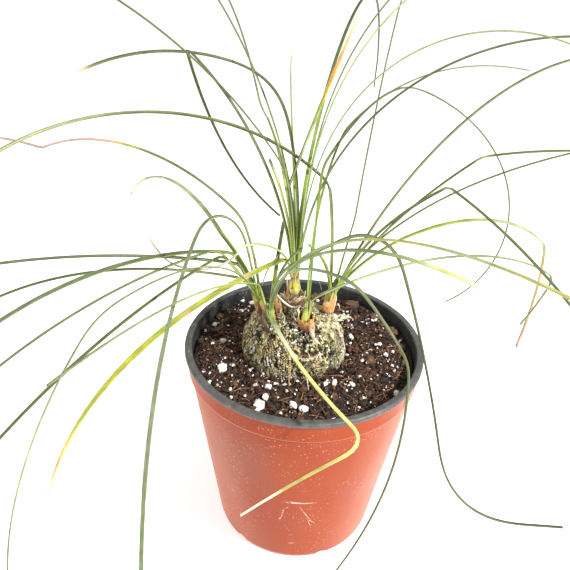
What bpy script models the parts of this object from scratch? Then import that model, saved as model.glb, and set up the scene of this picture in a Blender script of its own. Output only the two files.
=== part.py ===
"""Potted calibanus: a corky caudex with five tufts of long grassy leaves, in a plastic
nursery pot of potting mix.

The origin is the middle of the pot's underside, +Z is up and -Y is the front.
Every size is in millimetres and is turned into metres by MM where a mesh is made.
"""

import math
import random
from collections import namedtuple

import bmesh
import bpy
from mathutils import Matrix, Vector, noise

MM = 0.001
GAP = 0.35                  # air between one piece and the next

# Pot: a thin moulded nursery pot
POT_HEIGHT = 110.0
RIM_RADIUS = 57.5
LIP_WIDTH = 3.6
LIP_HEIGHT = 2.4
COLLAR_HEIGHT = 12.0        # plain band under the lip
COLLAR_RADIUS = 56.1
COLLAR_STEP = 0.8           # how far the band stands out of the wall below it
BASE_RADIUS = 42.3
BASE_CORNER = 3.0
WALL = 1.6
FLOOR = 1.8
NOTCH_COUNT = 6             # drain holes through the bottom corner
NOTCH_RADIUS = 3.1
NOTCH_FIRST = -70.0         # degrees
POT_SEGMENTS = 72

# Potting mix
SOIL_TOP = 104.0
SOIL_RELIEF = 1.1
SOIL_RINGS = 7
SOIL_SEGMENTS = 48

# Caudex: a flat-topped lump, half sunk in the mix, on a short tap root
CAUDEX_CENTRE = Vector((-5.0, 0.0, 104.0))
CAUDEX_WIDTH = 24.5         # half widths, across and front to back
CAUDEX_DEPTH = 23.0
CAUDEX_RISE = 23.0          # above and below its widest level
CAUDEX_ROOT = 34.0
CAUDEX_SQUARENESS = 2.7     # 2 is an egg, more is closer to a barrel
KNOB_HEIGHT = 4.0           # the old stem base under the middle tuft
KNOB_SPREAD = 9.0

# Leaves: a keeled blade, widest where it leaves the crown
LEAF_WIDTH = 1.9
LEAF_BASE_WIDTH = 1.2       # added at the root, gone about 20 mm up
LEAF_THICKNESS = 0.75
LEAF_TIP = 0.6              # width and thickness of the tip
LEAF_TAPER = 70.0           # length over which the blade narrows to its tip
LEAF_STEP = 22.0            # at most this distance between two rings of the blade
LEAF_CURVE = 11.0           # and this many degrees of droop
LEAF_SPREAD = 1.9           # roots stand this far from the crown's middle
LEAF_SECTION = ((-0.5, 0.3), (0.5, 0.3), (0.0, -0.7))
CROWN_SIDES = 10
CROWN_RINGS = ((0.0, 2.4), (0.15, 3.8), (0.4, 4.2), (0.7, 3.8), (0.95, 3.3), (1.1, 2.6), (1.18, 1.3))

# One leaf: compass heading and rise in degrees where it leaves the crown, length in
# millimetres, degrees that it droops and turns by the tip, and how late it droops
# (1 is evenly). Each bend is (distance along, fall, turn, length of the bend).
Leaf = namedtuple("Leaf", "heading rise length droop turn sag bends",
                  defaults=(0, 1.0, ()))

# One tuft: where its crown stands on the caudex, where its leaves part, and its leaves
Tuft = namedtuple("Tuft", "foot top leaves")

TUFTS = {
    "tuft_left": Tuft((-19, 3, 117), (-22, 4, 130), (
        Leaf(180, 67, 290, 61, -1, 1.3, [(20, -51, 16, 8)]),
        Leaf(185, 60, 280, 96, 0, 1.15, [(13, -47, -4, 8)]),
        Leaf(174, 70, 280, 115, 2, 0.9, [(26, -37, 38, 6)]),
        Leaf(198, 62, 286, 79, 1, 1.0, [(34, -50, 22, 8)]),
        Leaf(250, 62, 300, 121, -10, 0.8, [(126, -48, -23, 20)]),
        Leaf(208, 62, 290, 66, -3, 1.0, [(32, -59, 22, 8)]),
        Leaf(148, 65, 137, 113, 2, 1.05, [(35, -4, -18, 8)]),
        Leaf(156, 90, 250, 131, 4, 0.95, [(41, -29, -2, 15), (163, 38, 10, 4)]),
        Leaf(197, 84, 235, 44, 39, 0.9, [(52, -100, 46, 49)]),
    )),
    "tuft_front": Tuft((-14, -8, 117), (-17, -8, 129), (
        Leaf(221, 79, 150, 38, -8, 1.0, [(19, -40, 32, 6)]),
        Leaf(326, 97, 270, 34, 7, 0.5, [(21, -44, 12, 31), (75, -100, -7, 38), (214, 70, 29, 82)]),
        Leaf(302, 90, 295, 133, 19, 0.6),
        Leaf(306, 91, 122, 105, 24, 0.75),
        Leaf(279, 78, 300, 112, 44, 0.6, [(108, -67, 64, 12), (144, -21, -17, 15)]),
        Leaf(290, -5, 129, -6, 29, 1.1, [(79, -26, -115, 19)]),
        Leaf(81, 61, 57, 73, 7, 1.15),
        Leaf(21, 90, 38, 55, -10, 1.65),
    )),
    "tuft_middle": Tuft((-6, 4, 121), (-6, 6, 137), (
        Leaf(141, 90, 230, 104, 7, 0.82, [(121, -168, -30, 3)]),
        Leaf(165, 90, 260, 76, 1, 1.25, [(56, -21, 19, 12)]),
        Leaf(142, 98, 205, 94, -23, 0.9),
        Leaf(208, 90, 195, 84, 0, 1.4, [(86, -14, -97, 12)]),
        Leaf(119, 97, 171, 95, 18, 1.3, [(93, -26, 64, 43)]),
        Leaf(103, 90, 146, 98, -15, 1.0),
        Leaf(360, 98, 207, 48, 93, 2.6, [(50, -25, -12, 4)]),
        Leaf(66, 95, 282, 171, 14, 1.15, [(264, -3, 6, 13)]),
        Leaf(17, 90, 275, 200, -5, 2.1),
        Leaf(346, 90, 200, 104, 1, 2.05),
        Leaf(167, 90, 62, 27, -8, 1.2),
        Leaf(113, 88, 85, 66, -4, 1.0),
        Leaf(219, 82, 196, 54, 13, 1.2, [(16, -101, -26, 10), (193, -29, 0, 2)]),
        Leaf(220, 97, 116, 202, 6, 0.85, [(50, -121, 112, 4), (87, 22, -30, 7)]),
        Leaf(323, 90, 260, 200, 2, 1.7),
        Leaf(347, 90, 300, 182, 5, 1.25),
    )),
    "tuft_small": Tuft((1, -12, 117), (0, -11, 127), (
        Leaf(70, 90, 346, 176, -21, 1.9, [(73, -57, -2, 12), (178, -1, -56, 15)]),
        Leaf(91, 44, 275, 49, -60, 1.1, [(109, -6, -10, 12)]),
        Leaf(355, 90, 198, 68, 3, 1.1, [(14, -68, 28, 6), (164, -68, -34, 12)]),
    )),
    "tuft_right": Tuft((9, 5, 118), (12, 8, 131), (
        Leaf(132, 90, 350, 192, -1, 1.4, [(55, -31, 73, 10)]),
        Leaf(59, 69, 195, 85, 9, 1.3, [(38, 10, 12, 10)]),
        Leaf(34, 64, 300, 103, 0, 1.05),
        Leaf(6, 71, 281, 72, 3, 0.65, [(92, -27, -1, 6)]),
        Leaf(343, 81, 260, 91, 3, 0.6),
        Leaf(324, 82, 290, 93, 1, 0.65, [(84, -53, -15, 2)]),
        Leaf(12, 70, 211, 147, 28, 0.7, [(141, -30, 6, 10)]),
        Leaf(72, 14, 170, 22, 0, 1.2),
        Leaf(204, 90, 34, 53, 0, 1.35),
    )),
}

# Larger perlite grains in the mix: across, front to back, radius
PERLITE = (
    (-20, -41, 2.9), (-17, -37, 1.8), (-5, -40, 2.1), (0, -42, 1.9), (-38, -16, 2.4),
    (16, -27, 1.8), (42, -27, 1.6), (-28, 40, 2.2), (-34, 31, 1.5), (-15, -31, 1.5),
    (33, 3, 1.5), (27, -8, 1.4), (-46, 16, 1.4), (27, 13, 1.6), (-32, -34, 1.5),
    (-44, -24, 1.5), (28, -21, 1.4), (8, 44, 1.8), (38, 28, 1.6), (-12, 38, 1.5),
)
# Bark chips: across, front to back, half length, turn in degrees
BARK = (
    (25, 38, 5.0, 20), (34, -6, 3.6, 70), (45, 17, 3.2, 120), (46, -8, 2.8, 40),
    (-40, 6, 3.6, 100), (-31, -27, 3.0, 15), (8, -33, 3.2, 150), (2, 33, 4.0, 60),
    (-24, 36, 3.4, 130), (24, -33, 2.8, 95),
)


def clear_scene():
    """Start with no objects."""
    for old in list(bpy.data.objects):
        bpy.data.objects.remove(old, do_unlink=True)


def plain_material(name, colour, roughness):
    """One Principled material of a single colour."""
    mat = bpy.data.materials.new(name)
    mat.use_nodes = True
    shader = mat.node_tree.nodes["Principled BSDF"]
    shader.inputs["Base Color"].default_value = (*colour, 1.0)
    shader.inputs["Roughness"].default_value = roughness
    shader.inputs["Metallic"].default_value = 0.0
    mat.diffuse_color = (*colour, 1.0)
    return mat


def add_object(name, bm, mat=None, collection=None):
    """Turn a millimetre bmesh into an object in metres."""
    bmesh.ops.scale(bm, vec=(MM, MM, MM), verts=bm.verts)
    bmesh.ops.recalc_face_normals(bm, faces=bm.faces)
    mesh = bpy.data.meshes.new(name)
    bm.to_mesh(mesh)
    bm.free()
    obj = bpy.data.objects.new(name, mesh)
    (collection or bpy.context.scene.collection).objects.link(obj)
    if mat:
        mesh.materials.append(mat)
        mesh.shade_smooth()
        mesh.set_sharp_from_angle(angle=math.radians(35))
    return obj


def boolean(obj, parts, operation, solver="EXACT"):
    """Join or cut obj with a list of objects in one go, then remove them."""
    group = bpy.data.collections.new("parts")
    bpy.context.scene.collection.children.link(group)
    for part in parts:
        for owner in list(part.users_collection):
            owner.objects.unlink(part)
        group.objects.link(part)
    mod = obj.modifiers.new("Boolean", "BOOLEAN")
    mod.operation = operation
    mod.operand_type = "COLLECTION"
    mod.collection = group
    mod.solver = solver
    depsgraph = bpy.context.evaluated_depsgraph_get()
    result = bpy.data.meshes.new_from_object(obj.evaluated_get(depsgraph))
    obj.modifiers.clear()
    obj.data = result
    for part in parts:
        bpy.data.objects.remove(part, do_unlink=True)
    bpy.data.collections.remove(group)
    bm = bmesh.new()
    bm.from_mesh(result)
    bmesh.ops.triangulate(bm, faces=bm.faces)
    bm.to_mesh(result)
    bm.free()


def turned(profile, segments):
    """Spin an open profile, whose two ends lie on the axis, into a closed body."""
    bm = bmesh.new()
    verts = [bm.verts.new((radius, 0.0, height)) for radius, height in profile]
    edges = [bm.edges.new(pair) for pair in zip(verts, verts[1:])]
    bmesh.ops.spin(bm, geom=verts + edges, axis=(0, 0, 1), cent=(0, 0, 0),
                   angle=math.tau, steps=segments, use_duplicate=False)
    bmesh.ops.remove_doubles(bm, verts=bm.verts, dist=0.01)
    return bm


def inner_wall(height):
    """Radius of the pot's inside at a height."""
    low = BASE_RADIUS - WALL
    high = COLLAR_RADIUS - COLLAR_STEP - WALL
    top = POT_HEIGHT - COLLAR_HEIGHT
    return low + (high - low) * (height - BASE_CORNER) / (top - BASE_CORNER)


def make_pot():
    """Tapered pot with a collar, a lip and drain holes through its bottom corner."""
    band = POT_HEIGHT - COLLAR_HEIGHT
    lip = POT_HEIGHT - LIP_HEIGHT
    inside = RIM_RADIUS - LIP_WIDTH
    profile = [
        (0, 0),
        (BASE_RADIUS - BASE_CORNER, 0),
        (BASE_RADIUS - 0.3 * BASE_CORNER, 0.3 * BASE_CORNER),
        (BASE_RADIUS, BASE_CORNER),
        (COLLAR_RADIUS - COLLAR_STEP - 0.3, band),
        (COLLAR_RADIUS - 0.2, band + COLLAR_STEP),
        (COLLAR_RADIUS, lip),
        (RIM_RADIUS, lip + 0.2),
        (RIM_RADIUS, POT_HEIGHT - 0.6),
        (RIM_RADIUS - 0.6, POT_HEIGHT),
        (inside + 0.6, POT_HEIGHT),
        (inside, POT_HEIGHT - 0.6),
        (inside, band + COLLAR_STEP),
        (inner_wall(band), band - 1.0),
        (inner_wall(FLOOR + 2.0), FLOOR + 2.0),
        (inner_wall(FLOOR) - 2.0, FLOOR),
        (0, FLOOR),
    ]
    material = plain_material("terracotta_plastic", (0.55, 0.17, 0.09), 0.5)
    pot = add_object("pot", turned(profile, POT_SEGMENTS), material)
    notches = []
    for number in range(NOTCH_COUNT):
        angle = math.radians(NOTCH_FIRST + number * 360.0 / NOTCH_COUNT)
        bm = bmesh.new()
        bmesh.ops.create_cone(bm, cap_ends=True, segments=14, radius1=NOTCH_RADIUS,
                              radius2=NOTCH_RADIUS, depth=10.0,
                              matrix=Matrix.Rotation(math.pi / 2, 4, "Y"))
        bmesh.ops.translate(bm, verts=bm.verts, vec=(BASE_RADIUS, 0, 0.4))
        bmesh.ops.rotate(bm, verts=bm.verts, cent=(0, 0, 0),
                         matrix=Matrix.Rotation(angle, 3, "Z"))
        notches.append(add_object("notch", bm))
    boolean(pot, notches, "DIFFERENCE")
    return pot


def caudex_body(grow):
    """The lumpy caudex, with its whole surface moved out by grow."""
    bm = bmesh.new()
    bmesh.ops.create_icosphere(bm, subdivisions=5 - 1, radius=1.0)
    power = CAUDEX_SQUARENESS
    for vert in bm.verts:
        ray = vert.co.normalized()
        flat = math.hypot(ray.x, ray.y)
        size = (flat ** power + abs(ray.z) ** power) ** (-1.0 / power)
        size += 0.055 * noise.noise(ray * 2.1 + Vector((4.2, 1.3, 0.0)))
        size += 0.035 * noise.noise(ray * 5.0)
        point = ray * size
        shrink = 1.0
        if point.z < 0:
            shrink -= 0.5 * point.z ** 2
        vert.co = CAUDEX_CENTRE + Vector((
            point.x * (CAUDEX_WIDTH + grow) * shrink,
            point.y * (CAUDEX_DEPTH + grow) * shrink,
            point.z * ((CAUDEX_RISE if point.z > 0 else CAUDEX_ROOT) + grow)))
        knob = TUFTS["tuft_middle"].foot
        away = math.hypot(vert.co.x - knob[0], vert.co.y - knob[1]) / KNOB_SPREAD
        if point.z > 0:
            vert.co.z += KNOB_HEIGHT * math.exp(-away ** 2)
    return bm


def crown_body(tuft, grow):
    """The swollen bundle of leaf bases that stands in the caudex."""
    foot = Vector(tuft.foot)
    top = Vector(tuft.top)
    turn = (top - foot).to_track_quat("Z", "Y").to_matrix().to_4x4()
    bm = bmesh.new()
    rings = []
    for along, radius in CROWN_RINGS:
        place = Matrix.Translation(foot.lerp(top, along)) @ turn
        made = bmesh.ops.create_circle(bm, segments=CROWN_SIDES, radius=radius + grow,
                                       matrix=place)
        rings.append(made["verts"])
    for low, high in zip(rings, rings[1:]):
        for side in range(CROWN_SIDES):
            after = (side + 1) % CROWN_SIDES
            bm.faces.new((low[side], low[after], high[after], high[side]))
    bm.faces.new(rings[0])
    bm.faces.new(rings[-1])
    if grow:
        heads = (top - foot).normalized() * grow
        bmesh.ops.translate(bm, verts=rings[0], vec=-heads)
        bmesh.ops.translate(bm, verts=rings[-1], vec=heads)
    return bm


def make_caudex():
    """The caudex, with a socket cut for each crown."""
    material = plain_material("corky_bark", (0.33, 0.29, 0.16), 0.9)
    caudex = add_object("caudex", caudex_body(0.0), material)
    sockets = [add_object("socket", crown_body(tuft, GAP)) for tuft in TUFTS.values()]
    boolean(caudex, sockets, "DIFFERENCE")
    return caudex


def soil_height(x, y):
    """Height of the mix: uneven, and a little lower at the pot's wall."""
    spot = Vector((x, y, 0.0))
    bumps = noise.noise(spot * 0.09) + 0.6 * noise.noise(spot * 0.23)
    return SOIL_TOP + SOIL_RELIEF * bumps - 0.8 * (math.hypot(x, y) / 52.0) ** 4


def make_soil():
    """The mix: it fills the pot, with a hole for the caudex and its larger grains on top."""
    edge = inner_wall(SOIL_TOP - 8.0) - GAP
    low = FLOOR + GAP
    profile = [(0, low), (inner_wall(low) - 2.2 - GAP, low)]
    profile += [(inner_wall(low + 2.2) - GAP, low + 2.2), (edge, SOIL_TOP - 8.0)]
    profile += [(edge * ring / SOIL_RINGS, SOIL_TOP) for ring in range(SOIL_RINGS, -1, -1)]
    bm = turned(profile, SOIL_SEGMENTS)
    for vert in bm.verts:
        if vert.co.z > SOIL_TOP - 1.0:
            vert.co.z = soil_height(vert.co.x, vert.co.y)
    material = plain_material("potting_mix", (0.045, 0.028, 0.02), 0.95)
    soil = add_object("soil", bm, material)
    draw = random.Random(11)
    grains = []
    for x, y, radius in PERLITE:
        bm = bmesh.new()
        bmesh.ops.create_icosphere(bm, subdivisions=1, radius=radius)
        bmesh.ops.rotate(bm, verts=bm.verts, cent=(0, 0, 0),
                         matrix=Matrix.Rotation(draw.uniform(0, 3), 3, "X"))
        bmesh.ops.translate(bm, verts=bm.verts, vec=(x, y, soil_height(x, y) + 0.2 * radius))
        grains.append(add_object("grain", bm))
    for x, y, half, turn in BARK:
        bm = bmesh.new()
        bmesh.ops.create_cube(bm, size=2.0)
        bmesh.ops.scale(bm, verts=bm.verts, vec=(half, 0.6 * half, 0.35 * half))
        tilt = Matrix.Rotation(math.radians(14), 3, "X")
        bmesh.ops.rotate(bm, verts=bm.verts, cent=(0, 0, 0),
                         matrix=Matrix.Rotation(math.radians(turn), 3, "Z") @ tilt)
        bmesh.ops.translate(bm, verts=bm.verts, vec=(x, y, soil_height(x, y) + 0.2 * half))
        grains.append(add_object("chip", bm))
    boolean(soil, grains, "UNION")
    boolean(soil, [add_object("hole", caudex_body(GAP + 0.15))], "DIFFERENCE")
    return soil


def leaf_heading(leaf, distance):
    """Compass heading and rise, in radians, at a distance along a leaf."""
    share = distance / leaf.length
    rise = leaf.rise - leaf.droop * share ** leaf.sag
    heading = leaf.heading + leaf.turn * share
    for at, fall, turn, over in leaf.bends:
        done = min(1.0, max(0.0, (distance - at) / over + 0.5))
        done = done * done * (3.0 - 2.0 * done)
        rise += fall * done
        heading += turn * done
    return math.radians(heading), math.radians(rise)


def leaf_route(leaf, top, rank):
    """Rings of a leaf: (distance, point, sideways, upwards), root first."""
    stops = {0.0, leaf.length}
    for at, fall, turn, over in leaf.bends:
        pieces = max(2, math.ceil(max(abs(fall), abs(turn)) / 25.0))
        stops.update(at + over * (piece / pieces - 0.5) for piece in range(pieces + 1))
    count = max(3, round(max(leaf.length / LEAF_STEP, leaf.droop / LEAF_CURVE)))
    for number in range(1, count):
        stop = leaf.length * number / count
        if min(abs(stop - other) for other in stops) > 0.35 * LEAF_STEP:
            stops.add(stop)
    first = math.radians(leaf.heading)
    out = Vector((math.cos(first), math.sin(first), 0.0))
    nested = 1.0 - 0.13 * (rank % 4)
    point = Vector(top) + out * LEAF_SPREAD * nested
    rings = [(0.0, Vector(top) + out * nested - Vector((0, 0, 3.0 + 0.17 * rank)),
              Vector((-out.y, out.x, 0.0)), out * -1.0)]
    travelled = 0.0
    for stop in sorted(stops):
        pieces = max(1, round(stop - travelled))
        step = (stop - travelled) / pieces
        for piece in range(pieces):
            heading, rise = leaf_heading(leaf, travelled + (piece + 0.5) * step)
            point = point + step * Vector((math.cos(rise) * math.cos(heading),
                                           math.cos(rise) * math.sin(heading),
                                           math.sin(rise)))
        travelled = stop
        heading, rise = leaf_heading(leaf, stop)
        side = Vector((-math.sin(heading), math.cos(heading), 0.0))
        up = Vector((-math.sin(rise) * math.cos(heading),
                     -math.sin(rise) * math.sin(heading), math.cos(rise)))
        rings.append((stop, point.copy(), side, up))
    return rings


def leaf_body(leaf, top, rank):
    """A keeled blade swept along its route."""
    bm = bmesh.new()
    before = None
    for distance, point, side, up in leaf_route(leaf, top, rank):
        near_root = math.exp(-distance / 12.0)
        taper = min(1.0, (leaf.length - distance) / min(LEAF_TAPER, 0.5 * leaf.length))
        width = LEAF_TIP + (LEAF_WIDTH - LEAF_TIP) * taper + LEAF_BASE_WIDTH * near_root
        thick = LEAF_TIP + (LEAF_THICKNESS - LEAF_TIP) * taper + 0.4 * near_root
        ring = [bm.verts.new(point + side * width * across + up * thick * lift)
                for across, lift in LEAF_SECTION]
        if before:
            for corner in range(3):
                after = (corner + 1) % 3
                bm.faces.new((before[corner], before[after], ring[after], ring[corner]))
        else:
            bm.faces.new(ring)
        before = ring
    bm.faces.new(before)
    return bm


def make_tuft(name, tuft, colour):
    """One crown with all its leaves grown together."""
    crown = add_object(name, crown_body(tuft, 0.0), plain_material(name, colour, 0.45))
    leaves = [add_object("leaf", leaf_body(leaf, tuft.top, rank))
              for rank, leaf in enumerate(tuft.leaves)]
    boolean(crown, leaves, "UNION", "MANIFOLD")
    return crown


clear_scene()
make_pot()
make_soil()
make_caudex()
make_tuft("tuft_left", TUFTS["tuft_left"], (0.16, 0.27, 0.10))
make_tuft("tuft_front", TUFTS["tuft_front"], (0.22, 0.34, 0.11))
make_tuft("tuft_middle", TUFTS["tuft_middle"], (0.19, 0.30, 0.09))
make_tuft("tuft_small", TUFTS["tuft_small"], (0.20, 0.31, 0.12))
make_tuft("tuft_right", TUFTS["tuft_right"], (0.17, 0.28, 0.11))
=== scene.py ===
"""Potted calibanus, dressed for the camera.

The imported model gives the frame: its nodes carry the weight and the collisions, and each
is hidden behind a finer piece here. Sizes are in millimetres and become metres when a
piece is finished. The origin is the middle of the pot's underside, -Y is the front.
"""

import math
import random
from collections import namedtuple

import bmesh
import bpy
from mathutils import Matrix, Vector, noise


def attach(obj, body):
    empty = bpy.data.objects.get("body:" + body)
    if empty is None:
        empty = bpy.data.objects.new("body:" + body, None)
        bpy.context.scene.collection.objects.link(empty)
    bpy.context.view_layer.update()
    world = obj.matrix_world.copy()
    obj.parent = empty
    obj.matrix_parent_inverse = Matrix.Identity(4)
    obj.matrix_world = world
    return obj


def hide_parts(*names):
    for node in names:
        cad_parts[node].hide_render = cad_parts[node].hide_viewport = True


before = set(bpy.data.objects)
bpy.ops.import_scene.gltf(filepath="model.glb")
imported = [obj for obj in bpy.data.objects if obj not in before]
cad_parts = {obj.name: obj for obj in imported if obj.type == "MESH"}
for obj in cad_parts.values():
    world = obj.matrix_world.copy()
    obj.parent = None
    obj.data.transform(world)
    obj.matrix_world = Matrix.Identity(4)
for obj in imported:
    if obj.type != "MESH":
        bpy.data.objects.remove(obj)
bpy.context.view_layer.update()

# Pot: a thin thermoformed nursery pot of two skins in one sheet, terracotta outside, black
# inside and over the rolled lip. A plain band stands out under the lip, six drain notches
# are punched through the bottom corner, and the bench has left dust and scuffs.
MM = 0.001
POT_HEIGHT = 110.0
RIM_RADIUS = 57.5
LIP_WIDTH = 3.6
LIP_HEIGHT = 2.4
COLLAR_HEIGHT = 12.0
COLLAR_RADIUS = 56.1
COLLAR_STEP = 0.8
BASE_RADIUS = 42.3
BASE_CORNER = 3.0
WALL = 1.6
FLOOR_THICKNESS = 1.8
NOTCH_COUNT = 6
NOTCH_RADIUS = 3.1
NOTCH_FIRST = -70.0
NOTCH_REACH = 10.0
NOTCH_LIFT = 0.4
FOOT_RECESS = 0.4
FOOT_RING = 8.4
POT_STEPS = 200
CREASE_ANGLE = 50


def finish_piece(name, bm, materials, stands_for=()):
    """Turn a millimetre bmesh into a smooth piece in metres that rides on the pot."""
    bmesh.ops.scale(bm, vec=(MM, MM, MM), verts=bm.verts)
    mesh = bpy.data.meshes.new(name)
    bm.to_mesh(mesh)
    bm.free()
    for material in materials:
        mesh.materials.append(material)
    mesh.shade_smooth()
    mesh.set_sharp_from_angle(angle=math.radians(CREASE_ANGLE))
    made = bpy.data.objects.new(name, mesh)
    bpy.context.scene.collection.objects.link(made)
    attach(made, "root")
    if stands_for:
        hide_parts(*stands_for)
    return made


def turned(profile, steps):
    """Spin a profile whose two ends lie on the axis into a closed body."""
    bm = bmesh.new()
    verts = [bm.verts.new((radius, 0.0, height)) for radius, height in profile]
    edges = [bm.edges.new(pair) for pair in zip(verts, verts[1:])]
    bmesh.ops.spin(bm, geom=verts + edges, axis=(0, 0, 1), cent=(0, 0, 0),
                   angle=math.tau, steps=steps, use_merge=True, use_duplicate=False)
    bmesh.ops.remove_doubles(bm, verts=bm.verts, dist=0.005)
    bmesh.ops.recalc_face_normals(bm, faces=bm.faces)
    return bm


def new_finish(name, roughness):
    """A material: its node tree, its Principled shader and its object coordinates."""
    material = bpy.data.materials.new(name)
    material.use_nodes = True
    tree = material.node_tree
    shader = tree.nodes["Principled BSDF"]
    shader.inputs["Roughness"].default_value = roughness
    place = tree.nodes.new("ShaderNodeTexCoord").outputs["Object"]
    return material, tree, shader, place


def put(tree, kind, settings=(), **inputs):
    """Add a node. Inputs are sockets to link or plain values; settings are its options."""
    node = tree.nodes.new(kind)
    for key, value in dict(settings).items():
        setattr(node, key, value)
    for key, value in inputs.items():
        socket = node.inputs[int(key[1:])] if key[0] == "_" else node.inputs[key]
        if isinstance(value, bpy.types.NodeSocket):
            tree.links.new(value, socket)
        else:
            socket.default_value = value
    return node


def ramp(tree, value, *stops):
    """Colours or greys along a value: (place, colour) pairs."""
    node = put(tree, "ShaderNodeValToRGB", _0=value)
    while len(node.color_ramp.elements) < len(stops):
        node.color_ramp.elements.new(0.5)
    for element, (place, colour) in zip(node.color_ramp.elements, stops):
        element.position = place
        element.color = (colour,) * 3 + (1.0,) if isinstance(colour, float) else (*colour, 1.0)
    return node.outputs["Color"]


def blend(tree, amount, low, high, mode="MIX"):
    """Mix two colours, each a socket or a plain colour."""
    node = tree.nodes.new("ShaderNodeMix")
    node.data_type = "RGBA"
    node.blend_type = mode
    for socket, value in ((node.inputs[0], amount), (node.inputs[6], low), (node.inputs[7], high)):
        if isinstance(value, bpy.types.NodeSocket):
            tree.links.new(value, socket)
        else:
            socket.default_value = value if isinstance(value, float) else (*value, 1.0)
    return node.outputs[2]


def maths(tree, operation, *values):
    """One step of arithmetic on sockets and numbers."""
    node = put(tree, "ShaderNodeMath", {"operation": operation})
    for socket, value in zip(node.inputs, values):
        if isinstance(value, bpy.types.NodeSocket):
            tree.links.new(value, socket)
        else:
            socket.default_value = value
    return node.outputs[0]


def speckle(tree, vector, scale, detail=3.0, roughness=0.55, stretch=(1, 1, 1)):
    """Soft noise, finer with a larger scale, drawn out where stretch is small."""
    placed = put(tree, "ShaderNodeMapping", Vector=vector, Scale=stretch)
    node = put(tree, "ShaderNodeTexNoise", Vector=placed.outputs[0], Scale=scale,
               Detail=detail, Roughness=roughness)
    return node.outputs["Fac"]


def lay_on(tree, shader, colour, height, depth):
    """Give a shader its colour, and raise its surface by a height map, depth in mm."""
    node = put(tree, "ShaderNodeBump", Strength=1.0, Distance=depth * MM, Height=height)
    tree.links.new(node.outputs["Normal"], shader.inputs["Normal"])
    tree.links.new(colour, shader.inputs["Base Color"])


def dust_group():
    """Shared effect: small pale specks that settle at random. Puts out a mask."""
    group = bpy.data.node_groups.new("settled_dust", "ShaderNodeTree")
    group.interface.new_socket("Vector", in_out="INPUT", socket_type="NodeSocketVector")
    for name in ("Scale", "Size"):
        group.interface.new_socket(name, in_out="INPUT", socket_type="NodeSocketFloat")
    group.interface.new_socket("Mask", in_out="OUTPUT", socket_type="NodeSocketFloat")
    source = group.nodes.new("NodeGroupInput")
    cells = put(group, "ShaderNodeTexVoronoi", Vector=source.outputs["Vector"],
                Scale=source.outputs["Scale"])
    chance = put(group, "ShaderNodeSeparateColor", Color=cells.outputs["Color"])
    reach = maths(group, "MULTIPLY", source.outputs["Size"], chance.outputs[0])
    mask = put(group, "ShaderNodeMapRange", _0=cells.outputs["Distance"], _1=0.0,
               _2=reach, _3=1.0, _4=0.0)
    drift = speckle(group, source.outputs["Vector"], 45.0, 2.0)
    thick = put(group, "ShaderNodeMapRange", _0=drift, _1=0.42, _2=0.62)
    target = group.nodes.new("NodeGroupOutput")
    group.links.new(maths(group, "MULTIPLY", mask.outputs[0], thick.outputs[0]),
                    target.inputs["Mask"])
    return group


settled_dust = dust_group()


def dust(tree, vector, scale, size):
    """Place the shared dust effect in a material."""
    node = tree.nodes.new("ShaderNodeGroup")
    node.node_tree = settled_dust
    tree.links.new(vector, node.inputs["Vector"])
    node.inputs["Scale"].default_value = scale
    node.inputs["Size"].default_value = size
    return node.outputs["Mask"]


# Marks on the front of the pot: place (mm), turn in degrees, length and width (mm)
SCUFFS = (
    ((0.8, -49.1, 51.0), 1, 9.5, 0.55),
    ((-1.8, -49.1, 51.6), -5, 6.5, 0.3),
    ((-7.0, -47.5, 40.0), 80, 7.0, 0.3),
    ((-5.6, -47.5, 45.5), 52, 3.5, 0.3),
    ((-7.6, -47.5, 37.0), 64, 3.0, 0.3),
    ((4.2, -47.5, 41.5), -64, 9.0, 0.32),
    ((7.4, -46.5, 35.0), -48, 4.5, 0.35),
    ((6.4, -46.5, 33.5), -75, 4.0, 0.25),
    ((-1.0, -44.5, 14.5), 12, 2.5, 0.3),
)
SCUFF_REACH = 8
MARK_GAIN = 2.2
DUSTY_SIDE = (-25.0, -38.0, 72.0)
DUSTY_SIZE = (30, 30, 27)


def around_spot(tree, place, spot, size, turn=0.0):
    """A mask that is 1 at a spot and fades to 0 over a size (mm), turned about Y."""
    local = put(tree, "ShaderNodeMapping", {"vector_type": "TEXTURE"}, Vector=place,
                Location=[c * MM for c in spot], Rotation=(0, math.radians(-turn), 0),
                Scale=[c * MM for c in size])
    ball = put(tree, "ShaderNodeTexGradient", {"gradient_type": "SPHERICAL"},
               Vector=local.outputs[0])
    return ball.outputs["Fac"]


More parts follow.
